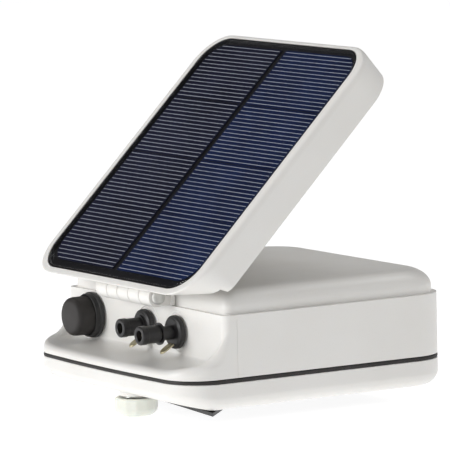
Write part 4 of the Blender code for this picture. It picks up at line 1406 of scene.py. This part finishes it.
@dataclass
class SolarPanel:
    """The tilting panel, built flat in its own frame about the hinge pin and then tilted."""

    finishes: Finishes
    tilt: float = math.radians(45.0)
    half_w: float = 65.0 * MM
    front: float = -6.7 * MM
    rear: float = 132.0 * MM
    rear_draft: float = 0.08
    top: float = 12.7 * MM
    rim: float = -2.8 * MM
    ceiling: float = 7.4 * MM
    skirt: float = 1.9 * MM
    corner: float = 17.0 * MM
    corner_low: float = 5.0 * MM
    edge_straight: float = 9.5 * MM
    nose_slope: float = 1.04
    pocket_half_w: float = 60.6 * MM
    pocket_front: float = -2.6 * MM
    pocket_rear: float = 129.4 * MM
    pocket_floor: float = 9.2 * MM
    pocket_r: float = 13.5 * MM
    pocket_r_rear: float = 14.0 * MM
    cell_corner: float = 10.5 * MM
    barrel_r: float = 4.3 * MM
    knuckle_span: float = 44.6 * MM
    knuckle_gap: float = 0.4 * MM
    pin_bore: float = 1.8 * MM
    cell_top: float = 11.34 * MM
    strips: tuple = ((6.5, 36.0, 15), (38.4, 65.4, 14), (68.0, 96.8, 15), (99.4, 128.0, 15))
    columns: tuple = (("left", -58.4, -4.5), ("right", -0.7, 57.4))

    def place(self) -> Matrix:
        """The matrix that takes the panel's own frame to its place at rest."""
        pin = middle("hinge_pin")
        return Matrix.Translation((0.0, pin.y, middle("hinge_washer").z)) @ Matrix.Rotation(self.tilt, 4, "X")

    def outline(self, inset: float, height: float) -> Ring:
        """One ring of the frame's outside: going down, the nose slopes back and its corners sharpen.

        Args:
            inset: How far inside the widest ring it lies.
            height: How high above the pin it lies.

        Returns:
            The ring.
        """
        nose = self.front + inset + (self.top - height) * self.nose_slope
        rear = self.rear - inset - (self.top - height) * self.rear_draft
        share = min(1.0, (height - self.rim) / (self.edge_straight - self.rim))
        corner = self.corner_low + (self.corner - self.corner_low) * share - inset
        edge = plan(self.half_w - inset, nose, rear, corner, self.corner - inset)
        return [(x, y, height) for x, y in edge]

    def pocket(self, inset: float, height: float) -> Ring:
        """One ring of the pocket that holds the cells.

        Args:
            inset: How far inside the pocket's edge it lies.
            height: How high above the pin it lies.

        Returns:
            The ring.
        """
        front_r, rear_r = self.pocket_r - inset, self.pocket_r_rear - inset
        front, rear = self.pocket_front + inset, self.pocket_rear - inset
        edge = plan(self.pocket_half_w - inset, front, rear, front_r, rear_r)
        return [(x, y, height) for x, y in edge]

    def knuckle(self, k: int) -> tuple[float, float]:
        """The middle and the width of one of the five hinge knuckles."""
        return self.knuckle_span * ((k + 0.5) / 5 - 0.5), self.knuckle_span / 5 - self.knuckle_gap

    def build_frame(self) -> bpy.types.Object:
        """Builds the white frame: rounded rim, pocket, hollow skirt and two hinge knuckles.

        Returns:
            The frame.
        """
        edge = [(0.0, self.rim / MM), (0.0, 9.5), (0.4, 11.6), (1.1, 12.45), (2.1, 12.7)]
        outside = [self.outline(inset * MM, height * MM) for inset, height in eased(edge, 4)]
        inside = [self.outline(self.skirt, self.rim), self.outline(self.skirt, self.ceiling)]
        cup = [self.pocket(0.0, self.top), self.pocket(0.0, self.pocket_floor)]
        body = soften(skin("panel_shell", inside[::-1] + outside + cup), 0.35 * MM)
        combine(body, block("mouth", (126.2 * MM, 38 * MM, 13 * MM), (0, 13 * MM, -6 * MM)))
        combine(body, block("hinge_mouth", (66 * MM, 38 * MM, 13 * MM), (0, 13 * MM, -4 * MM)))
        for k in (1, 3):
            centre, width = self.knuckle(k)
            barrel = lathe("barrel", [(self.barrel_r, -width / 2), (self.barrel_r, width / 2)], 56)
            turn_to(soften(barrel, 0.3 * MM), (centre, 0, 0), Facing.LEFT)
            combine(body, barrel, "UNION")
            web = block("web", (width - 0.2 * MM, 6.6 * MM, 7.2 * MM), (0, 0, 3.2 * MM))
            lean = Matrix.Rotation(math.radians(-42), 4, "X")
            web.data.transform(Matrix.Translation((centre, 0, 0)) @ lean)
            combine(body, web, "UNION")
        bore = lathe("bore", [(self.pin_bore, -30 * MM), (self.pin_bore, 30 * MM)], 40)
        combine(body, turn_to(bore, (0, 0, 0), Facing.LEFT))
        lead = middle("panel_lead_tail")
        way = lathe("lead_way", [(1.4 * MM, 6 * MM), (1.4 * MM, 11 * MM)], 32)
        combine(body, turn_to(way, (lead.x, 20 * MM, 0)))
        body.data.transform(self.place())
        return fit(body, "panel", "white_plastic", self.finishes.white, "panel_frame")

    def build_ribs(self) -> bpy.types.Object:
        """Builds the low ribs that stiffen the frame's ceiling, seen from behind and below.

        Returns:
            All the ribs, as one piece.
        """
        ribs = []
        for x in (-40, -20, 0, 20, 40):
            ribs.append(block(f"rib_{x}", (1.2 * MM, 106 * MM, 1.6 * MM), (x * MM, 76 * MM, self.ceiling)))
        for y in (34, 62, 90, 118):
            ribs.append(block(f"rib_y_{y}", (122 * MM, 1.2 * MM, 1.6 * MM), (0, y * MM, self.ceiling)))
        made = join("panel_ribs", [soften(rib, 0.25 * MM, 2) for rib in ribs])
        made.data.transform(self.place())
        return fit(made, "panel", "white_plastic", self.finishes.white)

    def build_backing(self) -> bpy.types.Object:
        """Builds the black potting tray that the cells lie in, with a thin lip round the resin.

        Returns:
            The tray.
        """
        floor_z, lip = self.pocket_floor + 0.3 * MM, self.top - 0.12 * MM
        rings = [self.pocket(0.3 * MM, floor_z), self.pocket(0.3 * MM, lip), self.pocket(1.0 * MM, lip)]
        rings.append(self.pocket(1.0 * MM, 10.7 * MM))
        tray = soften(skin("potting_tray", rings), 0.12 * MM, 2)
        tray.data.transform(self.place())
        return fit(tray, "panel", "panel_backing", self.finishes.backing, "panel_board")

    def cell_end(self, side: str, y: float) -> float:
        """The x of a column's outer edge at this y, which curves in at the panel's corners.

        Args:
            side: The column: left or right.
            y: How far along the panel, from the pin.

        Returns:
            The x of that edge.
        """
        left, right = self.columns[0][1] * MM, self.columns[1][2] * MM
        first = (self.strips[0][0] - 1.08) * MM + self.pocket_front
        last = (self.strips[-1][1] + 1.08) * MM + self.pocket_front
        r = self.cell_corner
        into = max(0.0, first + r - y, y - (last - r))
        inward = r - math.sqrt(max(r * r - into * into, 0.0))
        return left + inward if side == "left" else right - inward

    def cell(self, side: str, inner: float, low: float, high: float) -> bpy.types.Object:
        """Makes one cell of a column, between two heights along the panel.

        Args:
            side: The column: left or right.
            inner: The x of the column's inner edge.
            low: The y where it starts.
            high: The y where it ends.

        Returns:
            The cell.
        """
        base = self.cell_top - 0.34 * MM
        heights = [low + (high - low) * (0.5 - 0.5 * math.cos(math.pi * i / 16)) for i in range(17)]
        edge = [(self.cell_end(side, y), y) for y in heights]
        outline = [(inner, high), (inner, low), *edge]
        return soften(plate_of("cell", outline, base, self.cell_top), 0.06 * MM, 1, 60)

    def build_cells(self) -> None:
        """Builds both columns of four cells, and the silver fingers printed on them."""
        for side, left, right in self.columns:
            cells, fingers = [], []
            inner = (right if side == "left" else left) * MM
            inside = inner - math.copysign(0.6 * MM, inner - self.cell_end(side, 50 * MM))
            for start, end, count in self.strips:
                low, high = (start - 1.08) * MM + self.pocket_front, (end + 1.08) * MM + self.pocket_front
                cells.append(self.cell(side, inner, low, high))
                for i in range(count):
                    y = (start + (end - start) * i / (count - 1)) * MM + self.pocket_front
                    outer = self.cell_end(side, y) * (1 - 0.012)
                    fingers.append(self.finger((inside + outer) / 2, abs(outer - inside), y))
            wafer = join(f"cells_{side}", cells)
            wafer.data.transform(self.place())
            # The left column gets the copy with painted shade, the right column the copy with painted light.
            material = self.finishes.cell_left_painted_shade if side == "left" else self.finishes.cell_right_painted_light
            fit(wafer, "panel", "solar_cell", material, f"solar_cells_{side}")
            print_ = join(f"cell_fingers_{side}", fingers)
            print_.data.transform(self.place())
            fit(print_, "panel", "solar_cell", self.finishes.silver)

    def finger(self, x: float, width: float, y: float) -> bpy.types.Object:
        """Makes one printed silver line: a low strip with sloping sides along X.

        Args:
            x: The x of its middle.
            width: Its length across the column.
            y: Its y along the panel.

        Returns:
            The line.
        """
        low, high = self.cell_top - 0.01 * MM, self.cell_top + 0.03 * MM
        section = ((-0.14, low), (-0.08, high), (0.08, high), (0.14, low))
        rings = [[(x + side * width / 2, y + dy * MM, z) for dy, z in section] for side in (-1, 1)]
        return skin("finger", rings)

    def build_resin(self) -> bpy.types.Object:
        """Builds the clear poured dome over the cells.

        Returns:
            The dome.
        """
        edge = [(1.05, 11.45), (1.05, 12.5), (1.3, 12.75), (2.0, 12.93), (3.6, 13.02), (7.0, 13.05)]
        dome = skin("resin_dome", [self.pocket(inset * MM, height * MM) for inset, height in eased(edge, 3)])
        dome.data.transform(self.place())
        return fit(dome, "panel", "clear_glazing", self.finishes.resin, "panel_glazing", sharp=60.0)

    def build_lead(self) -> bpy.types.Object:
        """Dresses the short end of the panel's lead under the frame."""
        dress_node("panel_lead_tail", self.finishes.rubber, 0.1 * MM)
        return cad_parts["panel_lead_tail"]

    def build(self) -> None:
        """Builds the whole panel."""
        self.build_frame()
        self.build_ribs()
        self.build_backing()
        self.build_cells()
        self.build_resin()
        self.build_lead()


@dataclass
class Hinge:
    """The white fixed bracket with three knuckles, and its steel pin, push nut, washer and screws."""

    finishes: Finishes
    barrel_r: float = 4.3 * MM
    span: float = 44.6 * MM
    gap: float = 0.4 * MM
    bore: float = 1.8 * MM

    def build_bracket(self) -> bpy.types.Object:
        """Builds the bracket's plate, arms and barrels in one piece.

        Returns:
            The bracket.
        """
        pin_y, pin_z = middle("hinge_pin").y, middle("hinge_washer").z
        seal_z = middle("base_gasket").z
        plate_size = (self.span + 2 * MM, 2.0 * MM, 5.4 * MM)
        plate = block("hinge_bracket_body", plate_size, (0, -46.25 * MM, seal_z + 30.15 * MM))
        soften(plate, 0.3 * MM)
        width = self.span / 5 - self.gap
        for k in (0, 2, 4):
            centre = self.span * ((k + 0.5) / 5 - 0.5)
            barrel = lathe("barrel", [(self.barrel_r, -width / 2), (self.barrel_r, width / 2)], 56)
            combine(plate, turn_to(soften(barrel, 0.3 * MM), (centre, pin_y, pin_z), Facing.LEFT), "UNION")
            arm_size = (width - 0.2 * MM, 6.6 * MM, 4.0 * MM)
            arm = block("arm", arm_size, (centre, -50.0 * MM, seal_z + 29.55 * MM))
            combine(plate, arm, "UNION")
        bore = lathe("bore", [(self.bore, -30 * MM), (self.bore, 30 * MM)], 40)
        combine(plate, turn_to(bore, (0, pin_y, pin_z), Facing.LEFT))
        for k in (1, 2):
            at = middle(f"bracket_screw_{k}")
            profile = [(2.4, -3.0), (2.4, 0.2), (1.25, 1.0), (1.25, 4.0)]
            sink = lathe("sink", [(r * MM, h * MM) for r, h in profile], 40)
            combine(plate, turn_to(sink, (at.x, -48.2 * MM, at.z), Facing.BACK))
        return fit(plate, "housing", "white_plastic", self.finishes.white, "hinge_bracket")

    def build_pin(self) -> None:
        """Builds the pin, its push nut, the spring washer and the bracket's screws."""
        pin_y, pin_z = middle("hinge_pin").y, middle("hinge_washer").z
        end = self.span / 2
        head = [(0.9, -1.9), (2.3, -1.75), (2.9, -1.35), (3.1, -0.9), (3.1, -0.2), (1.5, -0.2)]
        tip = [(1.5, 2.1), (1.3, 2.45), (0.9, 2.6)]
        profile = [(r * MM, h * MM - end) for r, h in head] + [(r * MM, h * MM + end) for r, h in tip]
        pieces = {"hinge_pin": lathe("pin_rod", profile, 48)}
        nut = [(1.8, 1.0), (3.1, 1.0), (3.1, 1.25), (2.6, 1.8), (1.8, 1.8)]
        pieces["pin_push_nut"] = lathe("push_nut", [(r * MM, end + h * MM) for r, h in nut], 48, hollow=True)
        ring = [(1.8, 0.1), (3.4, 0.1), (3.4, 0.7), (1.8, 0.7)]
        washer = [(r * MM, end + h * MM) for r, h in ring]
        pieces["hinge_washer"] = lathe("spring_washer", washer, 48, hollow=True)
        for node, piece in pieces.items():
            turn_to(soften(piece, 0.08 * MM, 2), (0, pin_y, pin_z), Facing.LEFT)
            fit(piece, "housing", "zinc_steel", self.finishes.matt_zinc, node)
        for k in (1, 2):
            at = middle(f"bracket_screw_{k}")
            low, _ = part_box(f"bracket_screw_{k}")
            screw = cross_screw(f"hinge_screw_{k}", 2.0 * MM, 0.9 * MM, 0.9 * MM, 7.0 * MM)
            turn_to(screw, (at.x, low.y, at.z), Facing.BACK)
            fit(screw, "housing", "zinc_steel", self.finishes.steel, f"bracket_screw_{k}")

    def build(self) -> None:
        """Builds the whole hinge."""
        self.build_bracket()
        self.build_pin()


@dataclass
class PushButton:
    """The rubber-booted push-button, with its round nut and the switch behind the face."""

    finishes: Finishes
    face: float = -46.2 * MM

    def build(self) -> None:
        """Builds the nut and the boot, and dresses the plunger and the switch body."""
        at = middle("switch_nut")
        spot = (at.x, self.face, at.z)
        section = [(8.8, 0.9), (9.9, 0.9), (9.9, 2.5), (9.45, 2.75), (9.4, 4.3), (9.15, 4.75), (8.8, 4.85)]
        nut = lathe("button_nut", [(r * MM, h * MM) for r, h in section], 96, hollow=True)
        turn_to(soften(nut, 0.12 * MM, 2), spot, Facing.FORWARD)
        fit(nut, "housing", "black_plastic", self.finishes.black, "switch_nut")
        profile = [
            (3.6, 5.0), (3.6, 3.0), (8.4, 3.0), (8.4, 10.4), (8.3, 11.2), (8.0, 12.0), (7.5, 12.6),
            (6.9, 13.0), (6.2, 13.2), (5.0, 13.3), (3.2, 13.45), (1.2, 13.58),
        ]
        boot = lathe("button_boot", [(r * MM, h * MM) for r, h in profile], 96)
        turn_to(soften(boot, 0.15 * MM, 2, 50), spot, Facing.FORWARD)
        fit(boot, "button", "black_rubber", self.finishes.rubber, "switch_boot")
        dress_node("switch_plunger", self.finishes.grey)
        dress_node("switch_body", self.finishes.grey)


@dataclass
class Terminal:
    """One output terminal: insulated flange, threaded post, lug, travelling washer and knob."""

    finishes: Finishes
    side: str
    face: float = -46.2 * MM
    post_r: float = 1.6 * MM
    flutes: int = 30
    toe_t: float = 0.8

    def grip(self, turn: float, height: float) -> float:
        """The knob's radius at this angle, with fine flutes."""
        return 1.0 - 0.012 * (1.0 - math.cos(self.flutes * turn)) / 2

    def turned(
        self, part: str, section: Outline, swell: Callable[[float, float], float] | None = None
    ) -> bpy.types.Object:
        """Turns one hollow part in millimetres and sets it on the terminal's axis.

        Args:
            part: The part's name within the terminal.
            section: Its (radius, height) points, in millimetres.
            swell: Its radius share by angle and height, if it is not round.

        Returns:
            The part.
        """
        at = middle(f"{self.side}_post")
        name = f"{self.side}_terminal_{part}"
        piece = lathe(name, [(r * MM, h * MM) for r, h in section], 120, hollow=True, swell=swell)
        return turn_to(piece, (at.x, self.face, at.z), Facing.FORWARD)

    def build_flange(self) -> None:
        """Builds the insulated flange with its sleeve, and the threaded post in it."""
        section = [
            (1.9, -4.4), (3.5, -4.4), (3.5, 1.4), (7.1, 1.4), (7.1, 2.7), (6.95, 3.15), (6.5, 3.5),
            (6.2, 3.6), (6.0, 3.6), (5.8, 3.8), (5.6, 4.0), (3.0, 4.0), (3.0, 9.4), (2.8, 9.6),
            (1.9, 9.6),
        ]
        flange = self.turned("flange", section)
        fit(flange, "housing", "black_plastic", self.finishes.black, f"{self.side}_flange", sharp=50.0)
        at = middle(f"{self.side}_post")
        low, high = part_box(f"{self.side}_post")
        start, end = self.face - high.y, self.face - low.y
        post = thread(f"{self.side}_terminal_post", self.post_r, start, end, 0.7 * MM)
        turn_to(post, (at.x, self.face, at.z), Facing.FORWARD)
        fit(post, "housing", "brass", self.finishes.brass, f"{self.side}_post")
        dress_node(f"{self.side}_nut", self.finishes.brass)

    def build_lug(self) -> None:
        """Builds the brass lug in the flange: a round eye whose round-ended toe slopes forwards and down."""
        at = middle(f"{self.side}_post")
        low, high = 3.2 * MM, 3.9 * MM
        eye = [(3.3 * MM, low), (5.1 * MM, low), (5.1 * MM, high), (3.3 * MM, high)]
        lug = soften(lathe(f"{self.side}_terminal_lug", eye, 72, hollow=True), 0.1 * MM, 2)
        # The toe's steps: half its width, how far forward, and how far below the axis.
        steps = eased([(3.3, 5.1), (4.9, 5.9), (8.5, 8.1), (9.4, 8.7)], 6)
        rings = []
        for along, drop in steps:
            into = max(0.0, along - 7.4)
            half = math.sqrt(max(2.0**2 - into * into, 0.25))
            corners = ((-half, 0.0), (half, 0.0), (half, self.toe_t), (-half, self.toe_t))
            rings.append([(x * MM, (up - drop) * MM, along * MM) for x, up in corners])
        toe = soften(skin("toe", rings), 0.1 * MM, 2)
        combine(lug, toe, "UNION")
        turn_to(lug, (at.x, self.face, at.z), Facing.FORWARD)
        fit(lug, "housing", "brass", self.finishes.brass, f"{self.side}_lug")

    def build_knob(self) -> None:
        """Builds the travelling washer and the hollow-ended knob."""
        low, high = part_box(f"{self.side}_washer")
        near, far = (self.face - high.y) / MM, (self.face - low.y) / MM
        washer = self.turned("washer", [(3.3, near), (4.7, near), (4.7, far), (3.3, far)])
        fit(washer, f"{self.side}_washer", "black_plastic", self.finishes.black, f"{self.side}_washer")
        _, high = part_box(f"{self.side}_knob")
        start = (self.face - high.y) / MM
        section = [
            (3.3, 0.0), (3.65, 0.0), (3.8, 0.15), (3.8, 5.9), (3.9, 6.1), (4.05, 6.3), (4.05, 8.6),
            (3.95, 8.95), (3.7, 9.2), (2.6, 9.2), (2.3, 9.0), (2.3, 6.6), (1.9, 6.4), (1.9, 5.6),
            (3.3, 5.4),
        ]
        knob = self.turned("grip", [(r, start + h) for r, h in section], self.grip)
        fit(knob, f"{self.side}_knob", "black_plastic", self.finishes.black, f"{self.side}_knob", sharp=50.0)

    def build(self) -> None:
        """Builds the whole terminal."""
        self.build_flange()
        self.build_lug()
        self.build_knob()


@dataclass
class Inside:
    """What the closed casing hides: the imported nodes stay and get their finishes."""

    finishes: Finishes

    def build(self) -> None:
        """Dresses every inner node and the grommet in the face."""
        chosen = {
            "battery_pad": self.finishes.foam,
            "battery": self.finishes.battery,
            "battery_tab_positive": self.finishes.brass,
            "battery_tab_negative": self.finishes.brass,
            "circuit_board": self.finishes.board,
            "transformer_core": self.finishes.ferrite,
            "transformer_coil": self.finishes.winding,
            "charge_inductor": self.finishes.winding,
            "pulse_capacitor": self.finishes.capacitor,
            "filter_capacitor": self.finishes.capacitor,
            "thyristor": self.finishes.black,
            "left_output_lead": self.finishes.rubber,
            "right_output_lead": self.finishes.rubber,
            "panel_grommet": self.finishes.rubber,
        }
        for name, material in chosen.items():
            dress_node(name, material)


@dataclass
class Studio:
    """The pale floor, the soft lights and the camera."""

    floor_size: float = 60.0
    floor_glow: float = 0.92
    # The studio's walls: how high a direction points, and the light that comes from there.
    bands: tuple = (
        (0.06, (0.62, 0.61, 0.6)),
        (0.24, (0.05, 0.05, 0.05)),
        (0.6, (0.02, 0.02, 0.025)),
        (0.9, (0.3, 0.3, 0.3)),
    )
    # The soft lights: name, place, size and power.
    lamps: tuple = (
        ("overhead", (0.4, 0.7, 2.3), 1.6, 22.0),
        ("key", (-0.5, -2.6, 0.75), 1.1, 40.0),
        ("fill", (2.4, -0.6, 0.9), 1.2, 5.0),
    )
    camera_at: Point = (1.62887, -1.00651, 0.29459)
    azimuth: float = math.radians(58.43)
    elevation: float = math.radians(6.68)
    roll: float = math.radians(-1.38)
    lens: float = 359.42

    def floor_material(self) -> bpy.types.Material:
        """Makes the floor's pale paper, which glows a little, as on a light table.

        Returns:
            The material.
        """
        material, nodes, links = new_material("pale_floor")
        place = nodes.new("ShaderNodeTexCoord")
        place.label = "place on the floor"
        tooth = nodes.new("ShaderNodeTexNoise")
        tooth.label = "tooth of the paper"
        tone = nodes.new("ShaderNodeValToRGB")
        tone.label = "paper tone"
        shader = nodes.new("ShaderNodeBsdfPrincipled")
        shader.label = "paper"
        out = nodes.new("ShaderNodeOutputMaterial")
        out.label = "surface"
        group = nodes.new("NodeFrame")
        group.label = "paper"
        for column, node in enumerate((place, tooth, tone, shader, out)):
            node.location = (column * 220, 0)
        tooth.parent = tone.parent = group
        tooth.inputs["Scale"].default_value = 300.0
        tone.color_ramp.elements[0].color = (0.3, 0.3, 0.3, 1.0)
        tone.color_ramp.elements[1].color = (0.33, 0.33, 0.33, 1.0)
        shader.inputs["Roughness"].default_value = 0.9
        shader.inputs["Specular IOR Level"].default_value = 0.1
        shader.inputs["Emission Color"].default_value = (1.0, 1.0, 1.0, 1.0)
        shader.inputs["Emission Strength"].default_value = self.floor_glow
        links.new(place.outputs["Object"], tooth.inputs["Vector"])
        links.new(tooth.outputs["Fac"], tone.inputs["Fac"])
        links.new(tone.outputs["Color"], shader.inputs["Base Color"])
        links.new(shader.outputs["BSDF"], out.inputs["Surface"])
        return material

    def build_floor(self) -> None:
        """Builds the floor just under the object."""
        low, _ = CAD_BOX
        half = self.floor_size / 2
        corners = [(x * half, y * half, low.z) for x, y in CORNERS]
        floor = mesh_piece("floor", corners, [(0, 1, 2, 3)])
        floor.data.materials.append(self.floor_material())

    def build_world(self) -> None:
        """Builds the surroundings: pale near the horizon and darker overhead."""
        world = bpy.data.worlds.new("studio")
        world.use_nodes = True
        nodes, links = world.node_tree.nodes, world.node_tree.links
        nodes.clear()
        direction = nodes.new("ShaderNodeTexCoord")
        direction.label = "direction"
        split = nodes.new("ShaderNodeSeparateXYZ")
        split.label = "height of the direction"
        fall = nodes.new("ShaderNodeValToRGB")
        fall.label = "pale horizon, dark ceiling edge, grey ceiling"
        sky = nodes.new("ShaderNodeBackground")
        sky.label = "studio walls"
        out = nodes.new("ShaderNodeOutputWorld")
        out.label = "world"
        for column, node in enumerate((direction, split, fall, sky, out)):
            node.location = (column * 220, 0)
        fall.color_ramp.elements[0].position = self.bands[0][0]
        fall.color_ramp.elements[0].color = (*self.bands[0][1], 1.0)
        fall.color_ramp.elements[1].position = self.bands[-1][0]
        fall.color_ramp.elements[1].color = (*self.bands[-1][1], 1.0)
        for position, colour in self.bands[1:-1]:
            fall.color_ramp.elements.new(position).color = (*colour, 1.0)
        links.new(direction.outputs["Generated"], split.inputs["Vector"])
        links.new(split.outputs["Z"], fall.inputs["Fac"])
        links.new(fall.outputs["Color"], sky.inputs["Color"])
        links.new(sky.outputs["Background"], out.inputs["Surface"])
        bpy.context.scene.world = world

    def lamp(self, name: str, at: Point, size: float, power: float) -> None:
        """Hangs one square soft light that faces the object.

        Args:
            name: The light's name.
            at: Where it hangs.
            size: The side of its square.
            power: Its power in watts.
        """
        light = bpy.data.lights.new(name, "AREA")
        light.size = size
        light.energy = power
        holder = bpy.data.objects.new(name, light)
        holder.location = at
        holder.rotation_euler = (Vector((0, 0, 0.05)) - Vector(at)).to_track_quat("-Z", "Y").to_euler()
        bpy.context.scene.collection.objects.link(holder)

    def build_camera(self) -> None:
        """Sets the camera at its viewing angle."""
        a, e, r = self.azimuth, self.elevation, self.roll
        back = Vector((math.sin(a) * math.cos(e), -math.cos(a) * math.cos(e), math.sin(e)))
        right = Vector((math.cos(a), math.sin(a), 0.0))
        up = back.cross(right)
        across, upright = right * math.cos(r) + up * math.sin(r), up * math.cos(r) - right * math.sin(r)
        data = bpy.data.cameras.new("camera")
        data.sensor_width = 36.0
        data.lens = self.lens
        data.clip_end = 200.0
        camera = bpy.data.objects.new("camera", data)
        turn = Matrix((across, upright, back)).transposed().to_4x4()
        camera.matrix_world = Matrix.Translation(self.camera_at) @ turn
        bpy.context.scene.collection.objects.link(camera)
        bpy.context.scene.camera = camera

    def build(self) -> None:
        """Builds the whole studio."""
        self.build_floor()
        self.build_world()
        for name, at, size, power in self.lamps:
            self.lamp(name, at, size, power)
        self.build_camera()
        bpy.context.scene.view_settings.view_transform = "Standard"


def main() -> None:
    """Builds every sub-assembly in order."""
    logging.basicConfig(level=logging.INFO, format="%(message)s")
    finishes = Finishes()
    casing = Casing(finishes)
    for build in (casing.build_upper, casing.build_base, casing.build_seal, casing.build_rings):
        LOG.info("built %s", build().name)
    terminals = [Terminal(finishes, side) for side in ("left", "right")]
    parts = [
        Underside(finishes), ThumbScrew(finishes), SolarPanel(finishes), Hinge(finishes),
        PushButton(finishes),
    ]
    for part in (*parts, *terminals, Inside(finishes), Studio()):
        part.build()
        LOG.info("built %s", type(part).__name__)


if __name__ == "__main__":
    main()
